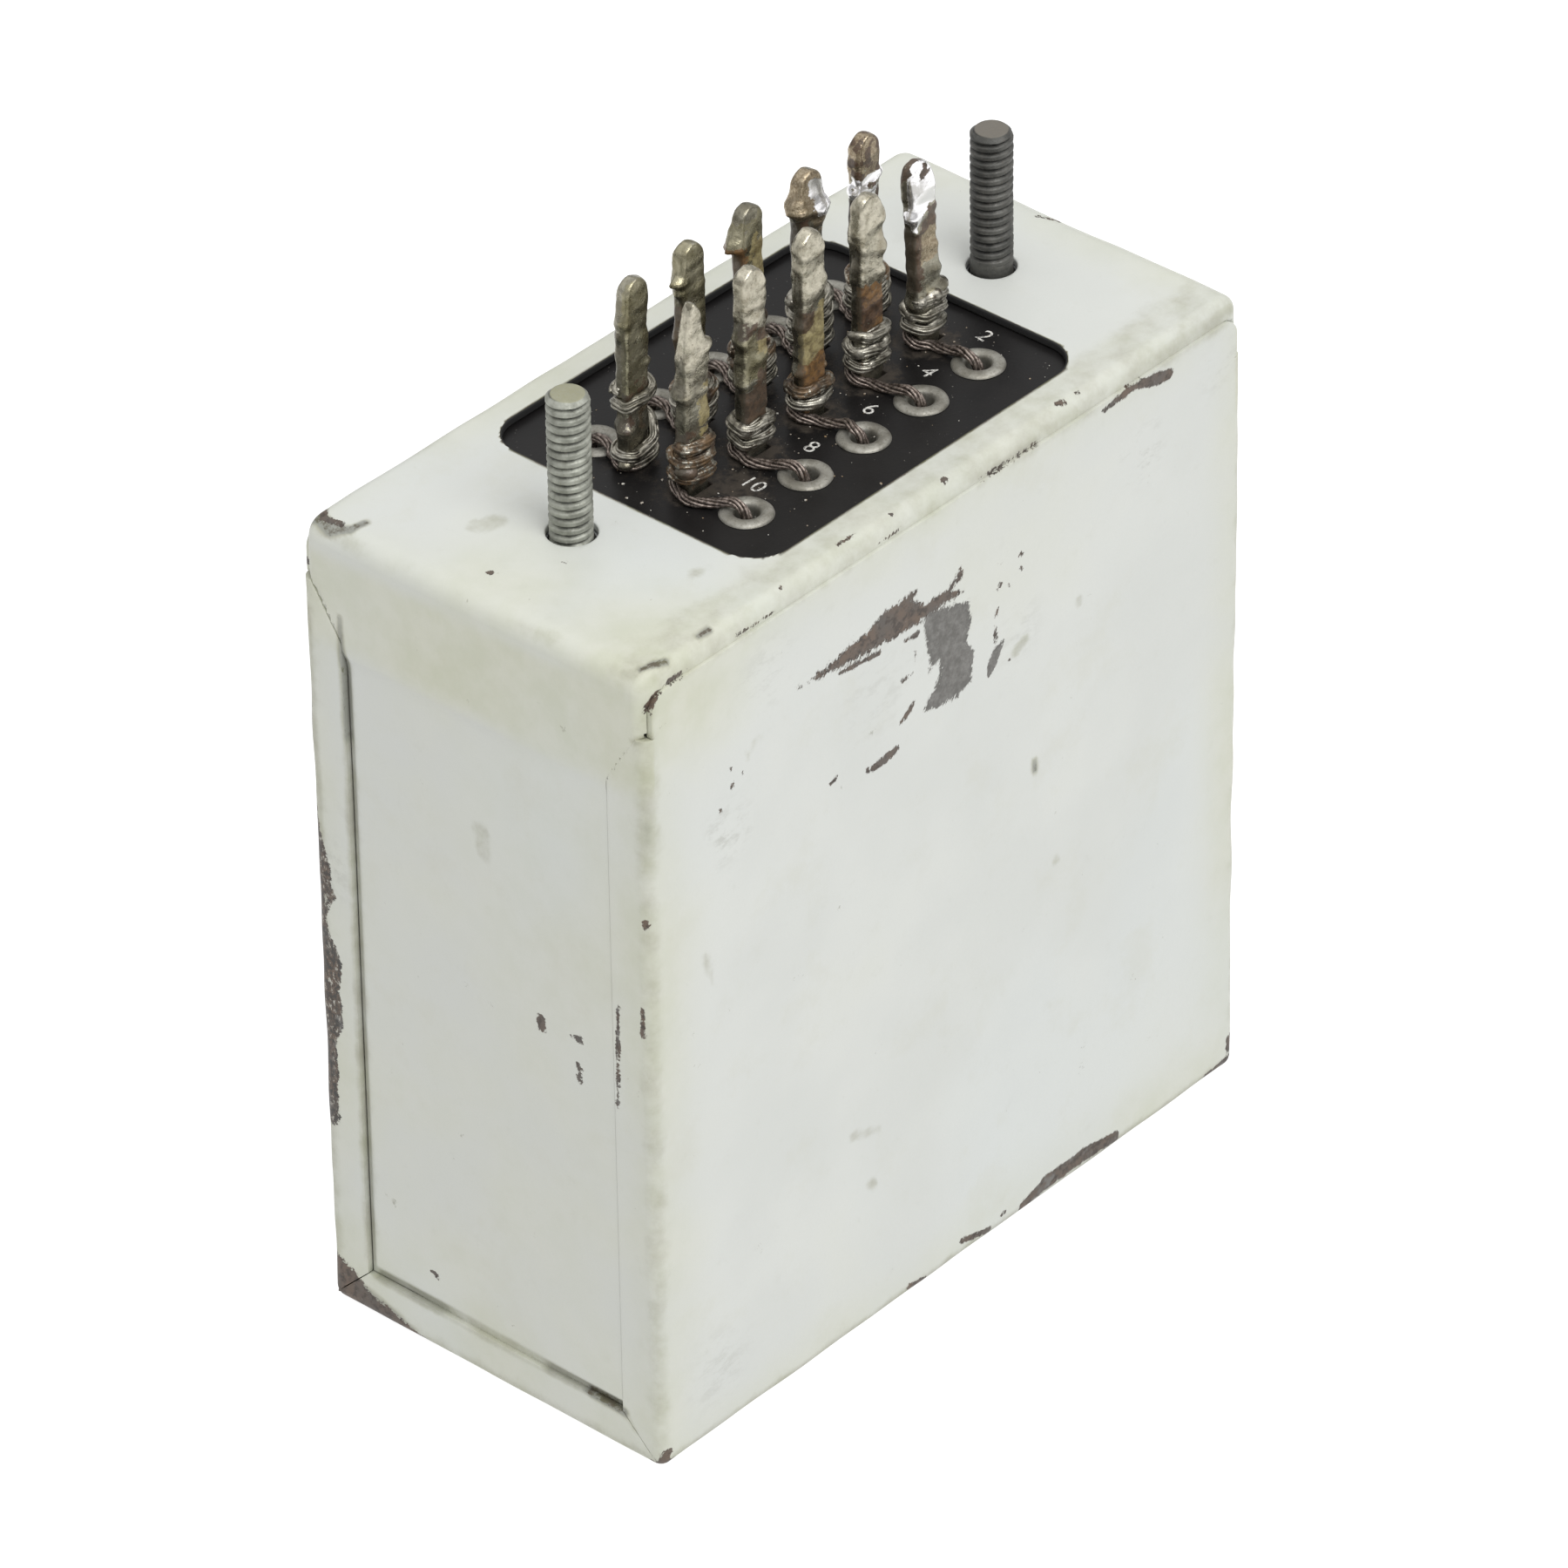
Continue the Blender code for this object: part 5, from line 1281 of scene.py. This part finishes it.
# ---------------------------------------------------------------- soldered blades
# Looks of each blade, in millimetres: lumps of solder as (x, y, height, size, amount) and coats as
# (kind, low, high, side); for some also the lean of the tip, or where the blade starts to narrow and
# to which share of its width. Heights are above the board.
BLADES = {
    "front_1": {
        "lean": (0.2, 0.0),
        "taper": (16.7, 0.42),
        "lumps": [
            (0.0, -0.6, 17.0, 1.5, 0.47), (1.9, -0.2, 17.6, 0.8, 1.5), (-1.8, 0.0, 12.6, 0.9, 0.88),
            (0.3, -0.9, 14.8, 1.4, 0.47), (1.0, -0.9, 9.5, 1.3, 0.47), (-1.7, -0.6, 3.4, 1.1, 1.44),
            (1.6, -0.6, 5.0, 1.2, 0.81),
        ],
        "coats": [
            ("pale", 12.0, 24.0, "all"), ("yellow", 7.4, 12.2, "right"), ("brown", 1.5, 7.2, "front"),
            ("brown", 4.0, 9.0, "left"),
        ],
    },
    "front_2": {
        "lumps": [
            (0.0, -0.8, 16.8, 1.1, 0.54), (1.6, 0.2, 19.5, 1.6, 0.34), (0.9, -0.9, 12.0, 1.0, 0.54),
            (-1.8, 0.0, 15.0, 0.9, 0.61), (-1.8, 0.0, 9.5, 0.9, 0.61), (0.6, -0.8, 9.6, 0.9, 0.41),
        ],
        "coats": [
            ("pale", 16.6, 24.0, "all"), ("brown", 15.2, 16.4, "front"), ("yellow", 12.6, 15.6, "right"),
            ("olive", 9.0, 15.6, "all"), ("brown", 8.2, 10.4, "right"), ("brown", 4.0, 8.4, "front"),
        ],
    },
    "front_3": {
        "lumps": [
            (0.2, -0.7, 16.0, 1.2, 0.54), (1.7, 0.0, 17.2, 1.0, 0.47), (0.0, -0.7, 21.0, 1.4, 0.41),
            (-1.9, 0.0, 6.4, 0.8, 0.90), (-1.9, 0.0, 12.0, 0.8, 0.47),
        ],
        "coats": [
            ("pale", 15.2, 24.0, "all"), ("brown", 11.8, 14.6, "frontleft"), ("yellow", 6.2, 14.0, "front"),
            ("amber", 3.0, 7.2, "front"), ("amber", 1.0, 4.5, "left"),
        ],
    },
    "front_4": {
        "lumps": [
            (0.8, -0.8, 20.5, 1.5, 0.54), (1.6, -0.3, 16.5, 1.4, 0.54), (-1.2, 0.3, 18.5, 1.5, 0.47),
            (1.2, -0.7, 13.6, 1.0, 0.41), (1.8, 0.0, 5.0, 1.1, 0.99), (-1.4, -0.6, 4.4, 1.0, 0.81),
        ],
        "coats": [
            ("pale", 13.0, 24.0, "all"), ("amber", 5.8, 12.4, "front"), ("brown", 7.0, 10.5, "front"),
        ],
    },
    "front_5": {
        "lean": (-1.0, 0.2),
        "lumps": [
            (0.0, -0.8, 17.2, 0.8, 0.54), (-1.7, -0.2, 17.0, 0.7, 0.61), (1.7, -0.2, 17.2, 0.7, 0.61),
            (0.5, -0.9, 20.0, 1.8, 0.41), (0.9, -0.8, 9.4, 1.2, 0.54), (1.6, -0.4, 6.6, 1.1, 1.35),
            (-0.6, -0.9, 5.4, 1.1, 0.99), (-1.7, 0.0, 5.6, 1.0, 0.81),
        ],
        "coats": [
            ("fresh", 17.3, 22.6, "front"), ("fresh", 16.9, 18.6, "left"), ("brown", 8.0, 16.4, "left"),
            ("tan", 10.6, 16.4, "front"), ("brown", 14.6, 16.6, "front"), ("brown", 22.0, 24.0, "all"),
        ],
    },
    "back_1": {
        "lean": (0.5, 0.0),
        "lumps": [
            (-1.9, 0.0, 18.4, 1.0, 0.68), (-1.9, 0.0, 16.8, 0.7, 0.54), (1.8, -0.3, 12.4, 0.6, 0.61),
            (-1.6, -0.4, 5.4, 1.0, 1.08), (-1.6, -0.5, 1.0, 0.9, 1.08),
        ],
        "coats": [("olive", 9.0, 24.0, "front"), ("tan", 5.0, 7.6, "right"), ("brown", 7.5, 9.5, "front")],
    },
    "back_2": {
        "lumps": [
            (-2.0, -0.2, 19.3, 0.7, 2.0), (-1.9, 0.0, 17.8, 0.7, 0.61), (-1.9, 0.0, 12.0, 0.9, 0.54),
            (1.6, 0.0, 8.0, 1.0, 0.54),
        ],
        "coats": [
            ("olive", 9.0, 24.0, "all"), ("amber", 8.0, 15.0, "left"), ("brown", 4.0, 9.5, "all"),
        ],
    },
    "back_3": {
        "lean": (0.1, 0.2),
        "lumps": [
            (-2.2, 0.0, 19.0, 0.9, 2.6), (-1.8, 0.0, 20.2, 1.0, 0.7), (1.7, 0.0, 9.0, 1.0, 0.54),
        ],
        "coats": [
            ("amber", 12.0, 19.6, "left"), ("yellow", 13.5, 19.0, "frontright"), ("olive", 9.0, 22.0, "all"),
            ("brown", 4.0, 11.0, "all"),
        ],
    },
    "back_4": {
        "lumps": [
            (-2.0, -0.1, 19.2, 1.3, 1.28), (0.7, -1.0, 19.0, 1.7, 0.94), (1.5, -0.4, 18.0, 1.2, 0.47),
            (0.3, -1.0, 16.9, 1.0, 0.54),
        ],
        "coats": [
            ("fresh", 18.3, 22.0, "frontright"), ("tan", 16.8, 24.0, "all"), ("olive", 17.0, 24.0, "left"),
            ("brown", 12.0, 16.4, "all"), ("olive", 8.0, 14.0, "front"),
        ],
    },
    "back_5": {
        "lumps": [
            (0.0, -0.9, 17.2, 0.7, 0.81), (-1.8, -0.2, 16.8, 0.8, 0.74), (1.8, -0.2, 18.0, 0.7, 0.81),
            (0.2, 0.9, 17.4, 0.7, 0.61), (-0.2, -0.8, 20.6, 1.6, 0.30),
        ],
        "coats": [
            ("tan", 18.0, 24.0, "all"), ("brown", 18.0, 24.0, "patchy"), ("fresh", 16.3, 17.9, "all"),
            ("brown", 10.0, 16.2, "all"),
        ],
    },
}
BLADE_FOOT = -2.5
BLADE_HALF = (1.7, 0.8)


def blade_ring(scale, round_off):
    """A rounded rectangle, in millimetres, narrowed by scale."""
    size = (2 * BLADE_HALF[0] * scale, 2 * BLADE_HALF[1] * round_off)
    ring = rounded_rectangle((0.0, 0.0), size, min(0.38, 0.45 * size[0], 0.45 * size[1]), 4)
    full = []
    for i, point in enumerate(ring):
        following = ring[(i + 1) % len(ring)]
        steps = {4: 3, 9: 7, 14: 3, 19: 7}.get(i, 1)
        for step in range(steps):
            full.append(tuple(a + (b - a) * step / steps for a, b in zip(point, following)))
    return full


def solder_swell(points, seed, calm, lumps):
    """How far the solder stands out from the plain blade at each point."""
    swell = 0.10 + 0.16 * wobble(points, 2.2, seed) + 0.05 * wobble(points, 0.8, seed + 5)
    swell += calm * 0.34 * np.maximum(wobble(points, 1.3, seed + 40), 0.0)
    rough = 1.0 + 0.35 * wobble(points, 0.8, seed + 9)
    for x, y, h, size, amount in lumps:
        near = np.linalg.norm(points - np.array((x, y, h)), axis=1)
        swell += amount * np.exp(-((near / size) ** 2) * 1.3) * rough
    return swell * smoothstep(points[:, 2], -0.5, 1.0)


def coat_weights(points, seed, coats):
    """How thickly each coat lies at each point of a blade, and how dark the painted shade on its narrow left
    side is.
    """
    x, y, z = points.T
    sides = {
        "all": np.ones(len(points)),
        "front": smoothstep(-y, -0.2, 0.5),
        "left": smoothstep(-x, 0.9, 1.5),
        "right": smoothstep(x, -0.3, 0.5) * smoothstep(-y, -0.4, 0.4),
        "patchy": np.clip(0.5 + 1.1 * wobble(points, 1.0, seed + 50), 0.0, 1.0),
        "frontleft": smoothstep(-x, -0.5, 0.4) * smoothstep(-y, -0.4, 0.4),
        "frontright": smoothstep(x, -0.9, -0.1) * smoothstep(-y, -0.2, 0.5),
    }
    height_at = z + 2.0 * wobble(points, 2.2, seed + 20) + 0.8 * wobble(points, 0.7, seed + 30)
    height_at += (0.35 if seed % 2 else -0.25) * x
    weights = {coat: np.zeros(len(points)) for coat in (*COATS, "fresh")}
    for coat, low, high, where in coats:
        above = smoothstep(height_at, low - 0.7, low + 0.7)
        below = 1.0 - smoothstep(height_at, high - 0.7, high + 0.7)
        weights[coat] = np.maximum(weights[coat], above * below * sides[where])
    # Painted shade on the narrow left side of the blade, below the tip.
    weights["edge"] = smoothstep(-x, 1.45, 1.75) * (1.0 - smoothstep(z, 16.5, 19.5))
    return weights


def blade_mesh(name, looks, height):
    """A blade in its own frame in millimetres, with its lumps of solder and its coats."""
    tip = height - BLADE_HALF[0]
    levels = [(h, 1.0, 1.0) for h in spread([BLADE_FOOT, tip], [0.26])]
    for step in range(1, 9):
        angle = math.pi / 2 * step / 8
        top = tip + BLADE_HALF[0] * math.sin(angle)
        levels.append((top, max(0.10, math.cos(angle)), 1.0 - 0.3 * (step / 8) ** 2))
    start, narrow = looks.get("taper", (height, 1.0))
    rows = []
    for h, scale, round_off in levels:
        taper = 1.0 - (1.0 - narrow) * max(0.0, (h - start) / (height - start)) if h > start else 1.0
        rows.append([(x, y, h) for x, y in blade_ring(scale * taper, round_off * (0.5 + 0.5 * taper))])
    mesh = tube_mesh(name, rows)
    points = points_of(mesh)
    normals = np.array([vertex.normal for vertex in mesh.vertices])
    seed = sum(ord(letter) for letter in name)
    calm = 0.45 if name.startswith("blade_back") else 0.80
    set_points(mesh, points + normals * solder_swell(points, seed, calm, looks["lumps"])[:, None])
    for coat, values in coat_weights(points, seed, looks["coats"]).items():
        set_attribute(mesh, coat, values)
    return mesh


def make_blade(row, place, material):
    node = f"terminal_{row}_{place}"
    name = f"{row}_{place}"
    base = center(node)
    mesh = blade_mesh(f"blade_{name}", BLADES[name], (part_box(node)[1].z - BOARD_TOP) / MM)
    points = points_of(mesh)
    lean = BLADES[name].get("lean", (0.0, 0.0))
    bend = np.clip(points[:, 2] / 23.0, 0.0, 1.1) ** 1.4
    points[:, 0] += lean[0] * bend
    points[:, 1] += lean[1] * bend
    shift = -0.4 * MM if row == "back" else 0.0
    set_points(mesh, points * MM + np.array((base.x + shift, base.y, BOARD_TOP)))
    blade = new_piece(f"soldered_{node}", mesh, material)
    smooth(blade.data, 80)
    settle(blade, node)


# ---------------------------------------------------------------- stranded leads
# In millimetres: a strand, the length of one turn of the strands, and the steps along a lead
STRAND_RADIUS = 0.21
LAY = 12.0
SPACING = 0.34
AROUND_SOLDER = 14

# Each lead, in millimetres: its x at a third and at the end of its way to the blade, its wraps as
# (first height, turns, rise of a turn) and how lumpy its solder is; for some also the turn at which
# the wraps jump up and how far, or the heights between which it is stained with rosin
LEADS = {
    "front_1": {"way": (-1.05, -2.9), "wraps": (0.9, 3.1, 1.85), "rosin": (2.6, 7.6), "lumpy": 0.32},
    "front_2": {"way": (-1.00, -2.5), "wraps": (0.9, 2.4, 1.65), "lumpy": 0.20},
    "front_3": {"way": (-0.20, -1.4), "wraps": (1.1, 2.6, 1.60), "rosin": (3.4, 6.0), "lumpy": 0.28},
    "front_4": {"way": (-0.90, -1.5), "wraps": (1.2, 3.1, 1.75), "lumpy": 0.32},
    "front_5": {"way": (-0.50, -1.0), "wraps": (1.2, 3.0, 1.70), "lumpy": 0.38},
    "back_1": {"way": (-0.60, -1.6), "wraps": (0.7, 3.0, 1.30), "jump": (1.3, 5.2), "lumpy": 0.12},
    "back_2": {"way": (-0.60, -1.6), "wraps": (1.0, 3.1, 1.40), "rosin": (4.0, 7.0), "lumpy": 0.18},
    "back_3": {"way": (-0.60, -1.6), "wraps": (1.0, 3.0, 1.50), "rosin": (4.0, 7.0), "lumpy": 0.20},
    "back_4": {"way": (-0.60, -1.6), "wraps": (1.2, 4.2, 1.60), "lumpy": 0.26},
    "back_5": {"way": (-0.60, -1.6), "wraps": (1.0, 3.4, 1.60), "rosin": (5.0, 8.0), "lumpy": 0.20},
}


def smooth_path(points, spacing):
    """A Catmull-Rom curve through points, at an even spacing."""
    padded = [2 * points[0] - points[1], *points, 2 * points[-1] - points[-2]]
    fine = []
    for a, b, c, d in zip(padded, padded[1:], padded[2:], padded[3:]):
        for step in range(12):
            t = step / 12
            fine.append(0.5 * (2 * b + (c - a) * t + (2 * a - 5 * b + 4 * c - d) * t * t
                               + (3 * b - a - 3 * c + d) * t ** 3))
    fine.append(points[-1].copy())
    path = [fine[0]]
    for a, b in zip(fine, fine[1:]):
        while (b - path[-1]).length >= spacing:
            step = (b - path[-1]).normalized() * spacing
            path.append(path[-1] + step)
    return path


def lead_path(row, place, looks):
    """The middle of a lead in millimetres from its eyelet, and where it meets the blade."""
    eyelet = center(f"eyelet_{row}_{place}")
    blade = center(f"terminal_{row}_{place}")
    reach = abs(blade.y - eyelet.y) / MM
    draw = random.Random(f"{row}_{place}")
    third, end = looks["way"]
    run = [
        (-0.30, -0.45, -2.5), (-0.35, -0.40, -0.7), (-0.45, 0.05, 0.62), (-0.60, 0.95, 1.22),
        (third, 2.0, 1.20), (third + (end - third) * 0.25, 3.1, 0.86),
        (third + (end - third) * 0.7, reach * 0.60, 0.64), (end, reach * 0.78, 0.62),
        (min(end, -2.0) * 0.5 - 1.1, reach - 0.7, 0.72),
    ]
    first, turns, rise = looks["wraps"]
    jump_turn, jump = looks.get("jump", (99.0, 0.0))
    wraps = []
    for step in range(int(turns * 12) + 1):
        turned = step / 12
        angle = math.pi - math.tau * turned
        out_x = math.copysign(abs(math.cos(angle)) ** 0.8, math.cos(angle))
        out_y = math.copysign(abs(math.sin(angle)) ** 0.8, math.sin(angle))
        loose = 1.0 + 0.07 * draw.uniform(-1, 1)
        height = first + rise * turned + 0.30 * math.cos(angle + 0.6) + draw.uniform(-0.12, 0.12)
        height += jump * min(1.0, max(0.0, turned - jump_turn) / 0.6)
        wraps.append((2.25 * out_x * loose, reach + 1.42 * out_y * loose, max(0.62, height)))
    toward = 1.0 if row == "front" else -1.0
    base = Vector((eyelet.x / MM, eyelet.y / MM, BOARD_TOP / MM))
    points = [base + Vector((x, toward * y, z)) for x, y, z in run + wraps]
    return smooth_path(points, SPACING), points[len(run)]


def path_frames(path):
    """Two directions across the path at each of its points, turning as little as they can."""
    frames = []
    side = Vector((1, 0, 0))
    for i in range(len(path)):
        ahead = (path[min(i + 1, len(path) - 1)] - path[max(i - 1, 0)]).normalized()
        side = (side - ahead * side.dot(ahead)).normalized()
        frames.append((side.copy(), ahead.cross(side)))
    return frames


def strand_ring(path, frames, entry, place, strand, i):
    """One ring of a strand, and how far the lead is soldered there."""
    side, up = frames[i]
    soldered = min(1.0, max(0.0, (i - entry) / 8))
    angle = math.tau * (strand / 6 + min(i, entry + (i - entry) * 0.4) * SPACING / LAY)
    away = 0.41 + 0.12 * soldered
    away *= 1 + 0.22 * noise.noise(Vector((i * 0.09, strand * 7.3, place)))
    away *= strand > 0
    middle = path[i] + (side * math.cos(angle) + up * math.sin(angle)) * away
    ring = [(middle + side * x + up * y) * MM for x, y in circle((0.0, 0.0), STRAND_RADIUS, 6)]
    return ring, soldered


def solder_ring(path, frames, entry, place, lumpy, i):
    """One ring of the lumpy solder that the strands sink into round the blade."""
    side, up = frames[i]
    closing = min(1.0, (i - entry - 1) / 5, (len(path) - i) / 3)
    late = min(1.0, (i - entry) / (len(path) - entry) * 1.3)
    ring = []
    for step in range(AROUND_SOLDER):
        angle = math.tau * step / AROUND_SOLDER
        out = side * math.cos(angle) + up * math.sin(angle)
        spot = path[i] + out * 0.5
        ripple = noise.noise(spot * 1.1 + Vector((place, 0, 0))) * 0.24 + noise.noise(spot * 2.6) * 0.07
        lump = max(0.0, noise.noise(spot * 0.75 + Vector((0, place * 3.1, 0))) - 0.05) * 2.4 * lumpy
        out.z *= 1.12
        ring.append((path[i] + out * closing * (0.53 + ripple + lump * late)) * MM)
    return ring


def make_lead(row, place, material):
    """Seven strands laid together, bare up to the blade and soldered round it."""
    name = f"{row}_{place}"
    looks = LEADS[name]
    path, entry_point = lead_path(row, place, looks)
    entry = min(range(len(path)), key=lambda i: (path[i] - entry_point).length)
    frames = path_frames(path)
    draw = random.Random("strands" + name)
    bm = bmesh.new()
    copper = []
    rosin = []
    low, high = looks.get("rosin", (99.0, 99.0))
    stained = [0.66 if low - 0.3 < point.z - BOARD_TOP / MM < high + 0.3 else 0.0 for point in path]
    for strand in range(7):
        rows = []
        for i in range(len(path) - draw.randrange(0, 6)):
            ring, soldered = strand_ring(path, frames, entry, place, strand, i)
            rows.append(ring)
            copper.extend([1.0 - 0.9 * soldered] * len(ring))
            rosin.extend([stained[i] * soldered] * len(ring))
        add_tube(bm, rows)
    rows = []
    for i in range(entry + 2, len(path)):
        rows.append(solder_ring(path, frames, entry, place, looks["lumpy"], i))
        copper.extend([0.0] * AROUND_SOLDER)
        rosin.extend([stained[i]] * AROUND_SOLDER)
    add_tube(bm, rows)
    bmesh.ops.recalc_face_normals(bm, faces=bm.faces)
    lead = new_piece(f"stranded_lead_{name}", to_mesh(f"lead_{name}", bm), material)
    set_attribute(lead.data, "copper", copper)
    set_attribute(lead.data, "rosin", rosin)
    lead.data.shade_smooth()
    settle(lead, f"lead_{name}")


# ---------------------------------------------------------------- the works inside the can
INSIDE = {
    "cast_aluminium": ((0.60, 0.61, 0.62), 0.9, 0.42, 3 * MM, ["mounting_cradle", "heat_sink"]),
    "black_compound": ((0.045, 0.040, 0.036), 0.0, 0.60, 4 * MM, ["potting_compound"]),
    "core_steel": ((0.20, 0.20, 0.21), 0.8, 0.50, 1 * MM, ["transformer_core"]),
    "bobbin_nylon": ((0.72, 0.69, 0.58), 0.0, 0.50, 6 * MM, ["transformer_bobbin"]),
    "winding_copper": ((0.60, 0.28, 0.14), 0.9, 0.35, 1 * MM, ["transformer_winding"]),
    "zinc_plate": ((0.48, 0.49, 0.48), 0.9, 0.40, 2 * MM, [
        "thyristor_left", "thyristor_right", "thyristor_nut_left", "thyristor_nut_right",
        "board_standoff_left", "board_standoff_right", "board_screw_left", "board_screw_right",
        "transistor_1", "transistor_2",
    ]),
    "green_epoxy": ((0.20, 0.30, 0.12), 0.0, 0.40, 5 * MM, ["circuit_board"]),
    "brown_bodies": ((0.28, 0.18, 0.10), 0.0, 0.45, 2 * MM, [
        "diode_1", "diode_2", "resistor_1", "resistor_2", "capacitor",
    ]),
}


def finish_inside():
    for name, (color, metallic, roughness, size, nodes) in INSIDE.items():
        material = inner_material(name, color, metallic, roughness, size)
        for node in nodes:
            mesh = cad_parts[node].data
            mesh.materials.clear()
            mesh.materials.append(material)


# ---------------------------------------------------------------- camera, floor and light
# Azimuth, elevation and roll in degrees
CAMERA_TURN = (-48.333, 35.072, -0.885)
CAMERA_TARGET = Vector((0.075, 0.0, 54.387)) * MM
CAMERA_DISTANCE = 1216.24 * MM
CAMERA_LENS = 252.54
CAMERA_SENSOR = 36.0
CAMERA_REACH = (0.01, 20.0)

FLOOR_SIZE = 3.0
FLOOR_DROP = 0.05 * MM
SKY = 0.85
# Brightness that metal reflects, by how far up the reflection looks
SKY_IN_METAL = {"From Min": 0.15, "From Max": 0.75, "To Min": 0.30, "To Max": 1.25}
KEY_PLACE = Vector((-0.245, -1.035, 1.55))
KEY_TARGET = Vector((0.0, 0.0, 0.05))
KEY_SIZE = 1.2
KEY_POWER = 19.0


def make_camera():
    """Looks down on the relay from its front left, as through a long lens."""
    azimuth, elevation, roll = (math.radians(angle) for angle in CAMERA_TURN)
    level = math.cos(elevation)
    back = Vector((math.sin(azimuth) * level, -math.cos(azimuth) * level, math.sin(elevation)))
    right = (-back).cross(Vector((0, 0, 1))).normalized()
    up = right.cross(-back)
    turned_right = right * math.cos(roll) + up * math.sin(roll)
    turned_up = up * math.cos(roll) - right * math.sin(roll)
    data = bpy.data.cameras.new("camera")
    data.sensor_width = CAMERA_SENSOR
    data.lens = CAMERA_LENS
    data.clip_start, data.clip_end = CAMERA_REACH
    camera = bpy.data.objects.new("camera", data)
    turn = Matrix((turned_right, turned_up, back)).transposed()
    camera.matrix_world = Matrix.Translation(CAMERA_TARGET + back * CAMERA_DISTANCE) @ turn.to_4x4()
    bpy.context.scene.collection.objects.link(camera)
    bpy.context.scene.camera = camera


def make_floor():
    bm = bmesh.new()
    bmesh.ops.create_grid(bm, x_segments=40, y_segments=40, size=FLOOR_SIZE)
    floor = new_piece("studio_floor", to_mesh("studio_floor", bm), floor_material())
    floor.location.z = -FLOOR_DROP
    floor.visible_diffuse = False


def make_sky():
    """An even white sky, which metal sees darker towards the horizon."""
    world = bpy.data.worlds.new("soft_studio")
    world.use_nodes = True
    nodes, links = world.node_tree.nodes, world.node_tree.links
    background = nodes["Background"]
    background.inputs["Color"].default_value = (1.0, 1.0, 1.0, 1.0)
    direction = nodes.new("ShaderNodeTexCoord").outputs["Generated"]
    split = nodes.new("ShaderNodeSeparateXYZ")
    links.new(direction, split.inputs["Vector"])
    seen_in_metal = nodes.new("ShaderNodeMapRange")
    for name, value in SKY_IN_METAL.items():
        seen_in_metal.inputs[name].default_value = value
    links.new(split.outputs["Z"], seen_in_metal.inputs["Value"])
    path = nodes.new("ShaderNodeLightPath")
    level = nodes.new("ShaderNodeMix")
    level.inputs["A"].default_value = SKY
    links.new(path.outputs["Is Glossy Ray"], level.inputs["Factor"])
    links.new(seen_in_metal.outputs["Result"], level.inputs["B"])
    links.new(level.outputs["Result"], background.inputs["Strength"])
    bpy.context.scene.world = world
    bpy.context.scene.view_settings.view_transform = "Standard"


def make_key_light():
    key = bpy.data.lights.new("key", "AREA")
    key.shape = "DISK"
    key.size = KEY_SIZE
    key.energy = KEY_POWER
    lamp = bpy.data.objects.new("key", key)
    lamp.location = KEY_PLACE
    lamp.rotation_euler = (KEY_TARGET - KEY_PLACE).to_track_quat("-Z", "Y").to_euler()
    bpy.context.scene.collection.objects.link(lamp)


# ---------------------------------------------------------------- the whole
paint = paint_material()
make_wrapper(paint)
make_cover(paint)
make_board()
make_digits(ink_material())
make_crumbs(crumb_material())
for side, colors in STUD_COLORS.items():
    make_stud(side, stud_material(f"zinc_{side}", *colors))
eyelet_plate = eyelet_material()
old_solder = blade_material()
strands = strand_material()
for row in ROWS:
    for place in PLACES:
        make_eyelet(row, place, eyelet_plate)
        make_blade(row, place, old_solder)
        make_lead(row, place, strands)
finish_inside()
make_floor()
make_sky()
make_key_light()
make_camera()
